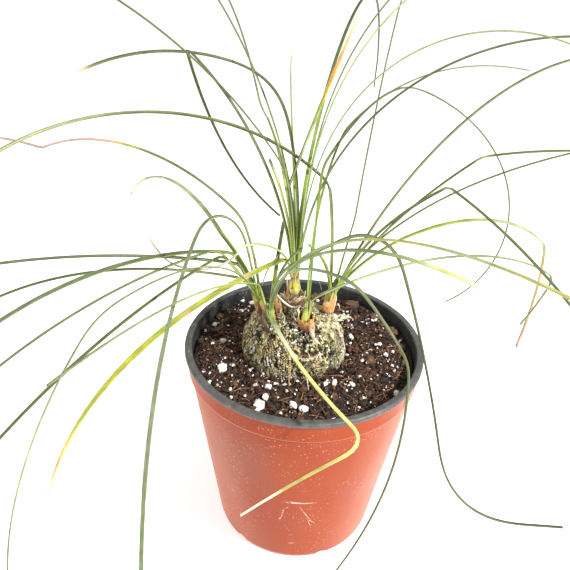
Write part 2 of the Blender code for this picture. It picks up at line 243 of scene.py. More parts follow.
def terracotta_skin():
    """Slightly chalky terracotta plastic: a dusty side, a pale line under the band that is a
    painted highlight on the step's edge, specks of dried water and a few scuffs, and a
    painted sheen that pales the colour where the surface turns away from the viewer."""
    material, tree, shader, place = new_finish("terracotta_skin", 0.5)
    cloud = speckle(tree, place, 28.0, 4.0)
    colour = ramp(tree, cloud, (0.30, (0.272, 0.038, 0.007)), (0.75, (0.318, 0.053, 0.011)))
    smears = speckle(tree, place, 55.0, 5.0, 0.65, (1, 1, 0.5))
    near_side = around_spot(tree, place, DUSTY_SIDE, DUSTY_SIZE)
    side = maths(tree, "MULTIPLY", near_side, MARK_GAIN)
    dusty = maths(tree, "MULTIPLY", side, ramp(tree, smears, (0.30, 0.25), (0.70, 1.0)))
    colour = blend(tree, ramp(tree, dusty, (0.0, 0.0), (1.0, 0.55)), colour, (0.265, 0.090, 0.055))
    film = ramp(tree, smears, (0.52, 0.0), (0.78, 0.22))
    colour = blend(tree, film, colour, (0.38, 0.11, 0.055))
    # Painted highlight: a thin pale line along the edge of the band's step.
    height = put(tree, "ShaderNodeSeparateXYZ", Vector=place).outputs[2]
    under_band = (POT_HEIGHT - COLLAR_HEIGHT + 0.1) * MM
    line = maths(tree, "ABSOLUTE", maths(tree, "SUBTRACT", height, under_band))
    step_highlight = put(tree, "ShaderNodeMapRange", _0=line, _1=0.15 * MM, _2=0.55 * MM, _3=0.4, _4=0.0)
    colour = blend(tree, step_highlight.outputs[0], colour, (0.62, 0.26, 0.17))
    colour = blend(tree, dust(tree, place, 760.0, 0.40), colour, (0.66, 0.33, 0.22))
    colour = blend(tree, dust(tree, place, 330.0, 0.20), colour, (0.70, 0.38, 0.28))
    grit = put(tree, "ShaderNodeTexVoronoi", Vector=place, Scale=95.0)
    colour = blend(tree, ramp(tree, grit.outputs["Distance"], (0.03, 0.75), (0.06, 0.0)), colour,
                   (0.12, 0.035, 0.02))
    rubbed = None
    for spot, turn, length, width in SCUFFS:
        streak = around_spot(tree, place, spot, (length, SCUFF_REACH, width), turn)
        mark = maths(tree, "MULTIPLY", streak, MARK_GAIN)
        rubbed = maths(tree, "MAXIMUM", rubbed, mark) if rubbed else mark
    broken = ramp(tree, speckle(tree, place, 1100.0, 3.0), (0.42, 0.0), (0.56, 1.0))
    colour = blend(tree, maths(tree, "MULTIPLY", rubbed, broken), colour, (0.70, 0.42, 0.33))
    # Painted sheen: the colour turns paler where the surface faces away from the viewer.
    painted_sheen = put(tree, "ShaderNodeLayerWeight", Blend=0.35).outputs["Facing"]
    colour = blend(tree, ramp(tree, painted_sheen, (0.42, 0.0), (0.84, 0.36)), colour,
                   (0.84, 0.38, 0.26))
    rough = ramp(tree, cloud, (0.3, 0.36), (0.8, 0.55))
    tree.links.new(rough, shader.inputs["Roughness"])
    shader.inputs["Specular IOR Level"].default_value = 0.16
    lay_on(tree, shader, colour, speckle(tree, place, 420.0, 4.0), 0.12)
    return material


def black_skin():
    """Matt grey-black plastic, darker inside and greyer on the handled lip."""
    material, tree, shader, place = new_finish("black_skin", 0.5)
    rubbed = ramp(tree, speckle(tree, place, 260.0, 5.0, 0.7), (0.42, 0.0), (0.75, 0.8))
    wall = blend(tree, rubbed, (0.022, 0.024, 0.025), (0.060, 0.061, 0.060))
    handled = blend(tree, rubbed, (0.062, 0.060, 0.056), (0.140, 0.134, 0.122))
    flat = put(tree, "ShaderNodeVectorMath", {"operation": "MULTIPLY"}, _0=place, _1=(1, 1, 0))
    reach = put(tree, "ShaderNodeVectorMath", {"operation": "LENGTH"}, _0=flat.outputs[0])
    lip_from = RIM_RADIUS - LIP_WIDTH
    on_lip = put(tree, "ShaderNodeMapRange", _0=reach.outputs["Value"],
                 _1=(lip_from + 0.1) * MM, _2=(lip_from + 0.7) * MM)
    colour = blend(tree, on_lip.outputs[0], wall, handled)
    colour = blend(tree, dust(tree, place, 520.0, 0.34), colour, (0.42, 0.38, 0.33))
    lay_on(tree, shader, colour, speckle(tree, place, 520.0, 4.0), 0.15)
    return material


def inner_wall(height):
    """Radius of the pot's inside at a height."""
    low = BASE_RADIUS - WALL
    high = COLLAR_RADIUS - COLLAR_STEP - WALL
    top = POT_HEIGHT - COLLAR_HEIGHT
    return low + (high - low) * (height - BASE_CORNER) / (top - BASE_CORNER)


band = POT_HEIGHT - COLLAR_HEIGHT
lip = POT_HEIGHT - LIP_HEIGHT
inside = RIM_RADIUS - LIP_WIDTH
wall_top = COLLAR_RADIUS - COLLAR_STEP
# The profile runs from the middle of the base out and up the wall, over the lip, and down
# the inside. Rings close to the band keep the long wall's shading from bending there.
outline = [(0, FOOT_RECESS), (BASE_RADIUS - FOOT_RING - 0.6, FOOT_RECESS),
           (BASE_RADIUS - FOOT_RING, 0.0)]
outline += [(BASE_RADIUS - BASE_CORNER, 0.0), (BASE_RADIUS - 1.4, 0.35),
            (BASE_RADIUS - 0.45, 1.3), (BASE_RADIUS, BASE_CORNER)]
for share in (0.008, *(n / 12 for n in range(1, 12)), 0.984, 0.993, 1.0):
    outline.append((BASE_RADIUS + (wall_top - 0.3 - BASE_RADIUS) * share,
                    BASE_CORNER + (band - 0.3 - BASE_CORNER) * share))
outline += [(wall_top + 0.15, band), (COLLAR_RADIUS - 0.25, band + 0.25),
            (COLLAR_RADIUS - 0.12, band + 0.75), (COLLAR_RADIUS - 0.1, band + 2.0),
            (COLLAR_RADIUS, lip - 1.0), (COLLAR_RADIUS + 0.1, lip - 0.25),
            (RIM_RADIUS - 0.45, lip - 0.02), (RIM_RADIUS - 0.1, lip + 0.25),
            (RIM_RADIUS, lip + 0.8), (RIM_RADIUS - 0.05, POT_HEIGHT - 0.7),
            (RIM_RADIUS - 0.35, POT_HEIGHT - 0.2), (RIM_RADIUS - 0.9, POT_HEIGHT),
            (inside + 0.9, POT_HEIGHT - 0.02), (inside + 0.3, POT_HEIGHT - 0.22),
            (inside, POT_HEIGHT - 0.8), (inside, band + 1.0), (inner_wall(band), band - 1.0),
            (inner_wall(60.0), 60.0), (inner_wall(FLOOR_THICKNESS + 2.0), FLOOR_THICKNESS + 2.0),
            (inner_wall(FLOOR_THICKNESS) - 2.0, FLOOR_THICKNESS), (0, FLOOR_THICKNESS)]
pot_mesh = turned(outline, POT_STEPS)
for face in pot_mesh.faces:
    middle = face.calc_center_median()
    outward = face.normal.x * middle.x + face.normal.y * middle.y > 0
    face.material_index = 0 if middle.z < lip - 0.1 and outward or middle.z < 0.6 else 1
pot = finish_piece("nursery_pot", pot_mesh, (terracotta_skin(), black_skin()), ["pot"])


def punch(piece, cutters):
    """Cut a group of bodies out of a piece, then remove them."""
    group = bpy.data.collections.new("punch")
    for cutter in cutters:
        group.objects.link(cutter)
    cut = piece.modifiers.new("Punch", "BOOLEAN")
    cut.operand_type = "COLLECTION"
    cut.collection = group
    cut.solver = "EXACT"
    depsgraph = bpy.context.evaluated_depsgraph_get()
    result = bpy.data.meshes.new_from_object(piece.evaluated_get(depsgraph))
    piece.modifiers.clear()
    piece.data = result
    for cutter in cutters:
        bpy.data.objects.remove(cutter, do_unlink=True)
    bpy.data.collections.remove(group)


notches = []
for number in range(NOTCH_COUNT):
    notch_mesh = bmesh.new()
    bmesh.ops.create_cone(notch_mesh, cap_ends=True, segments=28, radius1=NOTCH_RADIUS * MM,
                          radius2=NOTCH_RADIUS * MM, depth=NOTCH_REACH * MM,
                          matrix=Matrix.Rotation(math.pi / 2, 4, "Y"))
    bmesh.ops.translate(notch_mesh, verts=notch_mesh.verts,
                        vec=(BASE_RADIUS * MM, 0, NOTCH_LIFT * MM))
    around = Matrix.Rotation(math.radians(NOTCH_FIRST + number * 360.0 / NOTCH_COUNT), 3, "Z")
    bmesh.ops.rotate(notch_mesh, verts=notch_mesh.verts, cent=(0, 0, 0), matrix=around)
    shape = bpy.data.meshes.new("notch")
    notch_mesh.to_mesh(shape)
    notch_mesh.free()
    notches.append(bpy.data.objects.new("notch", shape))
punch(pot, notches)

# Potting mix: dark peat with brown crumbs and fibres, poured into the pot and pressed down
# to 6 mm below the lip. Its surface is a carpet of loose crumbs on an uneven bed.
SOIL_TOP = 104.0
SOIL_RELIEF = 1.1
GAP = 0.35
SOIL_EDGE = inner_wall(SOIL_TOP - 8.0) - GAP
SOIL_RINGS = 64
SOIL_STEPS = 190
BED_FALL = 0.8
BED_REACH = 52.0
CLOD_RELIEF = 0.9
CRUMBS, CRUMB_BATCHES = 4200, 30
CLODS = 420
FIBRES, FIBRE_BATCHES = 330, 12
CAUDEX_CENTRE = Vector((-5.0, 0.0, 104.0))
CAUDEX_CLEARANCE = 21.0


def soil_height(x, y):
    """Height of the bed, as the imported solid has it."""
    spot = Vector((x, y, 0.0))
    bumps = noise.noise(spot * 0.09) + 0.6 * noise.noise(spot * 0.23)
    return SOIL_TOP + SOIL_RELIEF * bumps - BED_FALL * (math.hypot(x, y) / BED_REACH) ** 4


def tint_layers(bm):
    """Attributes that the finishes read: along, across and tone."""
    layers = bm.verts.layers
    return (layers.float.get("along") or layers.float.new("along"),
            layers.float.get("across") or layers.float.new("across"),
            layers.float_color.get("tone") or layers.float_color.new("tone"))


def attribute(tree, name, output):
    """Read one of the piece's own attributes."""
    node = put(tree, "ShaderNodeAttribute", {"attribute_name": name})
    return node.outputs[output]


def peat():
    """Moist peat: near black with brown crumbs, each with its own tone."""
    material, tree, shader, place = new_finish("peat", 0.88)
    tone = attribute(tree, "tone", "Color")
    fine = speckle(tree, place, 1300.0, 4.0, 0.75)
    dark = ramp(tree, fine, (0.36, 0.18), (0.52, 0.90), (0.68, 2.3))
    colour = blend(tree, 1.0, tone, dark, "MULTIPLY")
    lay_on(tree, shader, colour, speckle(tree, place, 900.0, 5.0, 0.75), 0.6)
    return material


PEAT = (0.022, 0.011, 0.007)
PEAT_BROWN = (0.088, 0.040, 0.019)
PEAT_LIGHT = (0.29, 0.150, 0.075)
peat_finish = peat()
draw = random.Random(7)

low = FLOOR_THICKNESS + GAP
section = [(0, low), (inner_wall(low) - 2.2 - GAP, low), (inner_wall(low + 2.2) - GAP, low + 2.2)]
section += [(SOIL_EDGE, SOIL_TOP - 8.0)]
section += [(SOIL_EDGE * ring / SOIL_RINGS, SOIL_TOP) for ring in range(SOIL_RINGS, -1, -1)]
bed = turned(section, SOIL_STEPS)
along, across, tone = tint_layers(bed)
for vert in bed.verts:
    if vert.co.z > SOIL_TOP - 1.0:
        spot = Vector((vert.co.x, vert.co.y, 0.0))
        clods = (noise.noise(spot * 0.45) + 0.8 * noise.noise(spot * 1.1)
                 + 0.5 * noise.noise(spot * 2.3))
        vert.co.z = soil_height(spot.x, spot.y) + CLOD_RELIEF * clods - CLOD_RELIEF / 2.0
    share = max(0.0, min(1.0, 0.5 + noise.noise(vert.co * 0.7)))
    vert[tone] = (*Vector(PEAT).lerp(Vector(PEAT_BROWN), share * 0.4), 1.0)
finish_piece("peat_bed", bed, (peat_finish,), ["soil"])


def on_bed(edge):
    """A place on the mix, clear of the caudex and the wall."""
    while True:
        x, y = draw.uniform(-edge, edge), draw.uniform(-edge, edge)
        away = math.hypot(x - CAUDEX_CENTRE.x, y - CAUDEX_CENTRE.y)
        if math.hypot(x, y) < edge and away > CAUDEX_CLEARANCE:
            return Vector((x, y, soil_height(x, y)))


def add_lump(bm, spot, half, level, colour, rough=0.25, stretch=(1, 1, 1), facets=0, turn=None):
    """One rough grain on a spot, turned at random, with a few broken faces."""
    along, across, tone = tint_layers(bm)
    made = bmesh.ops.create_icosphere(bm, subdivisions=level, radius=1.0)["verts"]
    shift = Vector((draw.uniform(0, 90), draw.uniform(0, 90), draw.uniform(0, 90)))
    heading = draw.uniform(0, math.tau) if turn is None else math.radians(turn)
    turned_by = Matrix.Rotation(heading, 3, "Z") @ Matrix.Rotation(draw.uniform(-0.5, 0.5), 3, "X")
    breaks = [(Vector((draw.gauss(0, 1), draw.gauss(0, 1), draw.gauss(0, 1))).normalized(),
               draw.uniform(0.55, 0.85)) for number in range(facets)]
    for vert in made:
        place = vert.co.copy()
        for facing, depth in breaks:
            place -= facing * 0.9 * max(0.0, place.dot(facing) - depth)
        place *= 1.0 + rough * noise.noise(vert.co * 1.7 + shift)
        place *= 1.0 + 0.5 * rough * noise.noise(vert.co * 4.3 + shift)
        squashed = Vector(a * b for a, b in zip(place * half, stretch))
        vert.co = spot + turned_by @ squashed
        vert[tone] = (*colour, 1.0)


def add_batch(bm, parts):
    """Join small bmeshes to one, since many short operations are slow on a large one."""
    tint_layers(bm)
    for part in parts:
        mesh = bpy.data.meshes.new("part")
        part.to_mesh(mesh)
        part.free()
        bm.from_mesh(mesh)
        bpy.data.meshes.remove(mesh)
    return bm


crumb_parts = []
for batch in range(CRUMB_BATCHES):
    part = bmesh.new()
    for number in range(CRUMBS // CRUMB_BATCHES):
        spot = on_bed(SOIL_EDGE - 1.0)
        half = 0.30 + 0.65 * draw.random() ** 2.0
        share = draw.random() ** 1.3
        colour = Vector(PEAT).lerp(Vector(PEAT_BROWN), share)
        if share > 0.74:
            colour = Vector(PEAT_LIGHT) * draw.uniform(0.45, 1.3)
        add_lump(part, spot + Vector((0, 0, 0.4 * half)), half, 1, colour, 0.6,
                 (1.0, draw.uniform(0.45, 1.0), draw.uniform(0.4, 0.9)))
    for number in range(CLODS // CRUMB_BATCHES):
        spot = on_bed(SOIL_EDGE - 2.5)
        half = 0.9 + 1.1 * draw.random() ** 2.2
        colour = Vector(PEAT).lerp(Vector(PEAT_BROWN), draw.uniform(0.1, 1.0))
        colour = colour * draw.uniform(0.7, 1.6)
        add_lump(part, spot + Vector((0, 0, 0.25 * half)), half, 2, colour, 0.9,
                 (1.0, draw.uniform(0.5, 0.9), draw.uniform(0.4, 0.75)))
    crumb_parts.append(part)
finish_piece("peat_crumbs", add_batch(bmesh.new(), crumb_parts), (peat_finish,))


SIDEWAYS = Vector((0.3, 0.2, 0.93))
TUBE_GRAIN = 20.0


def lay_sheet(bm, columns, rows, lay, merge=0.0, thickness=0.0):
    """A grid laid in space. lay(u, v), both from 0 to 1, gives a corner's place, along,
    across and tone. The sheet's meeting edges are merged, or it is thickened."""
    along, across, tone = tint_layers(bm)
    made = bmesh.ops.create_grid(bm, x_segments=columns, y_segments=rows, size=1.0)["verts"]
    for vert in made:
        place, far, side, colour = lay((vert.co.x + 1.0) / 2.0, (vert.co.y + 1.0) / 2.0)
        vert.co = place
        vert[along], vert[across], vert[tone] = far, side, (*colour, 1.0)
    if merge:
        bmesh.ops.remove_doubles(bm, verts=made, dist=merge)
    if thickness:
        faces = list(dict.fromkeys(face for vert in made for face in vert.link_faces))
        bmesh.ops.recalc_face_normals(bm, faces=faces)
        bmesh.ops.solidify(bm, geom=faces, thickness=thickness)


def curve_line(points):
    """Places along a smooth curve through or near a few points."""
    curve = bpy.data.curves.new("stalk", "CURVE")
    curve.dimensions = "3D"
    spline = curve.splines.new("NURBS")
    spline.points.add(len(points) - 1)
    for target, point in zip(spline.points, points):
        target.co = (*point, 1.0)
    spline.use_endpoint_u = True
    spline.order_u = min(4, len(points))
    spline.resolution_u = 5
    holder = bpy.data.objects.new("stalk", curve)
    depsgraph = bpy.context.evaluated_depsgraph_get()
    path = bpy.data.meshes.new_from_object(holder.evaluated_get(depsgraph))
    line = [vert.co.copy() for vert in path.vertices]
    bpy.data.objects.remove(holder)
    bpy.data.curves.remove(curve)
    bpy.data.meshes.remove(path)
    return line


def tube(bm, points, radius, sides, tones):
    """A thin stalk or root along a few points, closed at both ends.

    radius is (first, middle, last) and tones a colour for each of the same three.
    """
    line = curve_line(points)
    count = len(line) - 1

    def lay(share, turn):
        number, angle = round(share * count), math.tau * turn
        ahead = (line[min(number + 1, count)] - line[max(number - 1, 0)]).normalized()
        side = ahead.cross(SIDEWAYS).normalized()
        first, second = (0, 1) if share < 0.5 else (1, 2)
        part = 2.0 * share - first
        size = radius[first] + (radius[second] - radius[first]) * part
        if number in (0, count):
            size = 0.0
        reach = side * math.cos(angle) * size + side.cross(ahead) * math.sin(angle) * size
        colour = Vector(tones[first]).lerp(Vector(tones[second]), part)
        return line[number] + reach, share * TUBE_GRAIN, math.cos(angle), colour

    lay_sheet(bm, count, sides, lay, merge=0.002)


fibre_parts = []
for batch in range(FIBRE_BATCHES):
    part = bmesh.new()
    for number in range(FIBRES // FIBRE_BATCHES):
        spot = on_bed(SOIL_EDGE - 4.0) + Vector((0, 0, 0.5))
        ahead = Matrix.Rotation(draw.uniform(0, math.tau), 3, "Z") @ Vector((1, 0, 0))
        reach = draw.uniform(1.2, 4.2)
        lift = Vector((draw.uniform(-1.2, 1.2), draw.uniform(-1.2, 1.2), draw.uniform(0.2, 1.3)))
        colour = Vector(PEAT_LIGHT) * draw.uniform(0.5, 1.5)
        tube(part, [spot - ahead * reach, spot + lift, spot + ahead * reach], (0.13, 0.17, 0.07),
             4, [colour] * 3)
    fibre_parts.append(part)
fibres = add_batch(bmesh.new(), fibre_parts)
bmesh.ops.recalc_face_normals(fibres, faces=fibres.faces)
finish_piece("peat_fibres", fibres, (peat_finish,))

# Perlite and bark: grains of expanded volcanic glass, white and pitted, from dust to 6 mm,
# and flat chips of composted pine bark. Both lie loose in the top of the mix.
# The larger grains: across, front to back, half width
PERLITE = (
    (-34, 43, 1.8), (-34, 33, 0.8), (-46, 18, 1.5), (-50, 13, 0.9), (-45, 2, 1.1),
    (-40, 4, 1.7), (-38, -17, 2.9), (-33, -15, 1.1), (-25, -17, 0.9), (-33, -26, 0.7),
    (-43, -27, 1.3), (-33, -31, 0.9), (-32, -36, 0.9), (-36, -32, 0.6), (-26, -35, 0.9),
    (-22, -29, 1.2), (-16, -29, 1.8), (-17, -35, 2.0), (-19, -40, 3.1), (-20, -44, 1.5),
    (-16, -25, 0.9), (-12, -26, 0.8), (-5, -40, 2.3), (0, -42, 2.1), (-10, -45, 0.8),
    (24, 12, 2.0), (25, 23, 0.9), (29, 5, 0.9), (33, 2, 1.0), (38, 7, 1.3), (44, 2, 1.2),
    (40, -2, 1.3), (23, -9, 1.1), (28, -7, 1.1), (18, -16, 1.1), (14, -24, 1.8),
    (10, -25, 1.2), (22, -25, 1.6), (27, -22, 1.3), (19, -29, 1.0), (27, -32, 1.0),
    (42, -28, 1.6), (24, -39, 0.8), (-28, 40, 1.8), (8, 44, 1.5), (38, 28, 1.4), (-12, 38, 1.3),
)
PERLITE_WHITE = (0.88, 0.87, 0.84)
PERLITE_STAINED = (0.60, 0.50, 0.40)
SMALL_GRAINS, GRAIN_BATCHES = 510, 6
# Bark chips: across, front to back, half length, turn in degrees, thickness against length
BARK = (
    (32, -7, 2.9, 70, 0.6), (26, 41, 4.2, 20, 0.7), (46, 19, 4.0, 150, 0.45),
    (49, 7, 3.0, 110, 0.4), (47, 2, 2.4, 80, 0.45), (6, 48, 2.8, 0, 0.8), (49, -7, 2.3, 40, 0.5),
    (29, -30, 1.8, 95, 0.6), (-44, 26, 2.4, 60, 0.5), (-33, 21, 2.0, 130, 0.5),
    (37, 30, 2.6, 100, 0.5), (18, 31, 2.4, 160, 0.5), (-24, 36, 2.8, 130, 0.5),
    (-31, -27, 1.8, 15, 0.6), (8, -33, 2.2, 150, 0.6), (2, 33, 2.8, 60, 0.5),
)


def perlite():
    """Chalk white with darker pits, and some grains stained by the mix."""
    material, tree, shader, place = new_finish("perlite", 0.85)
    cells = put(tree, "ShaderNodeTexVoronoi", Vector=place, Scale=1300.0)
    pits = ramp(tree, cells.outputs["Distance"], (0.08, 0.0), (0.34, 1.0))
    stain = ramp(tree, speckle(tree, place, 420.0, 4.0, 0.7), (0.50, 0.0), (0.70, 0.75))
    colour = blend(tree, pits, (0.46, 0.40, 0.34), attribute(tree, "tone", "Color"))
    colour = blend(tree, stain, colour, (0.40, 0.31, 0.24))
    lay_on(tree, shader, colour, pits, 0.25)
    return material


def bark_chip():
    """Composted bark: brown, in thin layers."""
    material, tree, shader, place = new_finish("bark_chip", 0.9)
    layers = speckle(tree, place, 900.0, 5.0, 0.7, (0.35, 0.6, 1.6))
    colour = ramp(tree, layers, (0.32, (0.045, 0.022, 0.012)), (0.55, (0.13, 0.068, 0.034)),
                  (0.78, (0.24, 0.14, 0.075)))
    lay_on(tree, shader, colour, layers, 0.6)
    return material


grains = bmesh.new()
for x, y, half in PERLITE:
    spot = Vector((x, y, soil_height(x, y) + 0.25 * half))
    add_lump(grains, spot, half, 4, PERLITE_WHITE, 0.28, (1.0, 0.85, 0.75), 9)
grain_parts = [grains]
for batch in range(GRAIN_BATCHES):
    part = bmesh.new()
    for number in range(SMALL_GRAINS // GRAIN_BATCHES):
        half = 0.22 + 0.70 * draw.random() ** 2.6
        colour = PERLITE_STAINED if draw.random() < 0.3 else PERLITE_WHITE
        add_lump(part, on_bed(SOIL_EDGE - 1.5) + Vector((0, 0, 0.6 * half)), half, 2, colour, 0.5,
                 (1.0, draw.uniform(0.5, 1.0), 0.7), 4)
    grain_parts.append(part)
finish_piece("perlite_grains", add_batch(bmesh.new(), grain_parts), (perlite(),))

chip_parts = []
for x, y, half, turn, thick in BARK:
    part = bmesh.new()
    add_lump(part, Vector((x, y, soil_height(x, y) + 0.35 * half * thick)), half, 4,
             (0.1, 0.05, 0.03), 0.35, (1.0, 0.8, thick), 5, turn)
    chip_parts.append(part)
finish_piece("bark_chips", add_batch(bmesh.new(), chip_parts), (bark_chip(),))

# Caudex: the plant's woody water store, a flat-topped lump half sunk in the mix. Its corky
# bark has split into upright furrows and flaky ridges, olive on the left, cream on the
# right, damp and brown where it meets the mix. The cream of the right side is partly painted
# light from the right, and the dark of the furrows and hollows is painted shade.
CAUDEX_WIDTH = 24.5
CAUDEX_DEPTH = 23.0
CAUDEX_RISE = 23.0
CAUDEX_ROOT = 34.0
CAUDEX_SQUARENESS = 2.7
KNOB_FOOT = (-6.0, 4.0)
KNOB_HEIGHT = 4.0
KNOB_SPREAD = 9.0
FURROW_DEPTH = 1.0
RIDGE_HEIGHT = 0.8
FLAKE_HEIGHT = 0.45
SPLITS_END = 3.0
BARK_FROM = 100.0
POCKET_DEPTH = 1.9
WANDER_AWAY = ((9.3, -1.5, -8.0), (0.0, 0.0, 0.0), (6.3, 0.2, -2.7))
# Hollows carved in the bark and painted dark as shade: place and size
POCKETS = (
    (0.2, -18.6, 122.0, 3.3), (3.5, -20.5, 117.5, 2.2), (13.5, -17.0, 112.0, 2.4),
    (-16.5, -15.0, 122.0, 2.6), (-21.5, -11.0, 119.0, 2.4), (10.0, -21.0, 108.0, 1.8),
    (-13.0, -21.0, 110.0, 1.6),
)


def caudex_point(ray):
    """The caudex without its bark: where a ray from its middle comes out."""
    power = CAUDEX_SQUARENESS
    size = (math.hypot(ray.x, ray.y) ** power + abs(ray.z) ** power) ** (-1.0 / power)
    size += 0.055 * noise.noise(ray * 2.1 + Vector((4.2, 1.3, 0.0)))
    size += 0.035 * noise.noise(ray * 5.0)
    point = ray * size
    shrink = 1.0 - 0.5 * min(point.z, 0.0) ** 2
    height = CAUDEX_RISE if point.z > 0 else CAUDEX_ROOT
    place = CAUDEX_CENTRE + Vector((point.x * CAUDEX_WIDTH * shrink,
                                    point.y * CAUDEX_DEPTH * shrink, point.z * height))
    if point.z > 0:
        away = math.hypot(place.x - KNOB_FOOT[0], place.y - KNOB_FOOT[1]) / KNOB_SPREAD
        place.z += KNOB_HEIGHT * math.exp(-away ** 2)
    return place


def wander(point):
    """A shift that wanders from place to place. Built from plain noise, because Blender's
    vector noise gives other values on some runs."""
    return Vector(noise.noise(point + Vector(away)) for away in WANDER_AWAY)


def bark_height(point):
    """Relief of the bark in millimetres, and how deep in a gap a point lies (0 to 1), which the
    finish paints dark as shade.
    """
    left = min(1.0, max(0.0, (-6.0 - point.x) / 12.0))
    drawn = Vector((point.x, point.y, point.z * (0.80 - 0.50 * left)))
    drawn += 1.7 * wander(drawn * 0.20) + 0.6 * wander(drawn * 0.75)
    first = abs(noise.noise(drawn * 0.36))
    second = abs(noise.noise(drawn * 0.72 + Vector((31, 7, 3))))
    third = noise.noise(drawn * 1.5 + Vector((5, 3, 17)))
    vein = 1.0 - min(1.0, first / 0.10)
    twig = 1.0 - min(1.0, second / 0.11)
    calm = min(1.0, max(0.0, 0.45 + 1.6 * noise.noise(point * 0.11 + Vector((2, 0, 9)))))
    lift = max(vein, 0.7 * twig) * (1.0 - 0.6 * calm)
    gap = min(1.1 * first, second) - 0.105 - 0.09 * calm + 0.05 * third
    gap = min(1.0, max(0.0, gap / 0.09))
    wrinkle = 1.0 - min(1.0, min(first, 1.2 * second) / 0.085)
    smooth = 0.35 * max(left, calm)
    gap += (wrinkle - gap) * smooth
    lift += (min(1.0, 1.6 * max(0.0, min(first, second) - 0.10)) - lift) * smooth
    upright_grain = Vector((point.x, point.y, point.z * 0.20)) * 0.34 + Vector((7, 3, 1))
    upright_grain += 0.25 * wander(point * 0.35)
    split = 1.0 - min(1.0, abs(noise.noise(upright_grain)) / 0.060)
    split *= min(1.0, max(0.0, (SPLITS_END - point.x) / 12.0))
    gap = max(gap, min(1.0, 1.15 * split))
    height = RIDGE_HEIGHT * lift + FLAKE_HEIGHT * third - FURROW_DEPTH * gap
    for x, y, z, size in POCKETS:
        near = (point - Vector((x, y, z))).length / size
        near += 0.5 * noise.noise(point * 0.6)
        if near < 1.0:
            height -= POCKET_DEPTH * (1.0 - near) ** 0.6
            # The hollows are painted dark as shade, as the furrows are.
            gap = max(gap, 1.3 * (1.0 - near))
    return height, lift, min(1.0, gap)


def corky_bark():
    """Bark with dark furrows, pale flakes and a wash of green, by height and by place. The
    furrows' dark is painted shade set by their depth, and the paler right side is partly
    painted light from the right.
    """
    material, tree, shader, place = new_finish("corky_bark", 0.9)
    furrow_shade = attribute(tree, "across", "Fac")
    lift = attribute(tree, "along", "Fac")
    side = put(tree, "ShaderNodeSeparateXYZ", Vector=place)
    patches = speckle(tree, place, 120.0, 4.0, 0.6)
    # Paler and creamier towards the right: partly the bark's own olive and cream, partly painted
    # light from the right.
    side_tone_and_light = maths(tree, "ADD", patches, maths(tree, "MULTIPLY", side.outputs[0], 6.5))
    ground = ramp(tree, side_tone_and_light, (0.28, (0.62, 0.48, 0.250)), (0.42, (0.66, 0.51, 0.270)),
                  (0.53, (0.62, 0.54, 0.230)), (0.66, (0.70, 0.66, 0.38)),
                  (0.80, (0.78, 0.70, 0.54)))
    moss = speckle(tree, place, 170.0, 4.0, 0.6, (1, 1, 1.3))
    moss = ramp(tree, moss, (0.46, 0.0), (0.62, 0.85))
    colour = blend(tree, moss, ground, (0.54, 0.54, 0.18))
    rust = speckle(tree, place, 230.0, 4.0, 0.6, (1.1, 0.9, 1))
    rust = ramp(tree, rust, (0.54, 0.0), (0.66, 0.8))
    colour = blend(tree, rust, colour, (0.28, 0.160, 0.075))
    white = ramp(tree, side_tone_and_light, (0.30, (0.88, 0.81, 0.58)), (0.58, (0.99, 0.97, 0.90)))
    colour = blend(tree, ramp(tree, lift, (0.20, 0.0), (0.60, 0.92)), colour, white)
    drift = put(tree, "ShaderNodeTexNoise", Vector=place, Scale=190.0, Detail=3.0)
    shifted = put(tree, "ShaderNodeVectorMath", {"operation": "MULTIPLY_ADD"},
                  _0=drift.outputs["Color"], _1=(0.006, 0.006, 0.006), _2=place)
    drawn = put(tree, "ShaderNodeMapping", Vector=shifted.outputs[0], Scale=(1, 1, 0.40))
    flakes = put(tree, "ShaderNodeTexVoronoi", Vector=drawn.outputs[0], Scale=500.0)
    chance = put(tree, "ShaderNodeSeparateColor", Color=flakes.outputs["Color"])
    flake = ramp(tree, chance.outputs[0], (0.06, (0.16, 0.095, 0.042)), (0.28, (0.44, 0.31, 0.15)),
                 (0.50, (0.64, 0.58, 0.28)), (0.68, (0.88, 0.82, 0.56)),
                 (0.85, (0.99, 0.96, 0.86)))
    colour = blend(tree, ramp(tree, chance.outputs[1], (0.25, 0.05), (0.75, 0.75)), colour, flake)
    seams = put(tree, "ShaderNodeTexVoronoi", {"feature": "DISTANCE_TO_EDGE"},
                Vector=drawn.outputs[0], Scale=500.0)
    closed = ramp(tree, speckle(tree, place, 210.0, 3.0), (0.40, 0.30), (0.58, 0.95))
    seam = maths(tree, "MULTIPLY", closed,
                 ramp(tree, seams.outputs["Distance"], (0.02, 1.0), (0.14, 0.0)))
    colour = blend(tree, seam, colour, (0.030, 0.018, 0.009))
    fine = speckle(tree, place, 1200.0, 4.0, 0.65, (1, 1, 0.5))
    colour = blend(tree, 1.0, colour, ramp(tree, fine, (0.34, 0.68), (0.62, 1.18)), "MULTIPLY")
    # Painted shade: furrows and hollows go near black by their depth.
    dark = ramp(tree, furrow_shade, (0.15, 0.0), (0.58, 0.97))
    colour = blend(tree, dark, colour, (0.026, 0.015, 0.008))
    damp = ramp(tree, maths(tree, "MULTIPLY", side.outputs[2], 100.0 / 12.0),
                (0.868, 0.72), (0.895, 0.22), (0.960, 0.0))
    colour = blend(tree, damp, colour, (0.100, 0.080, 0.030))
    lay_on(tree, shader, colour, maths(tree, "SUBTRACT", fine, seam), 0.45)
    return material


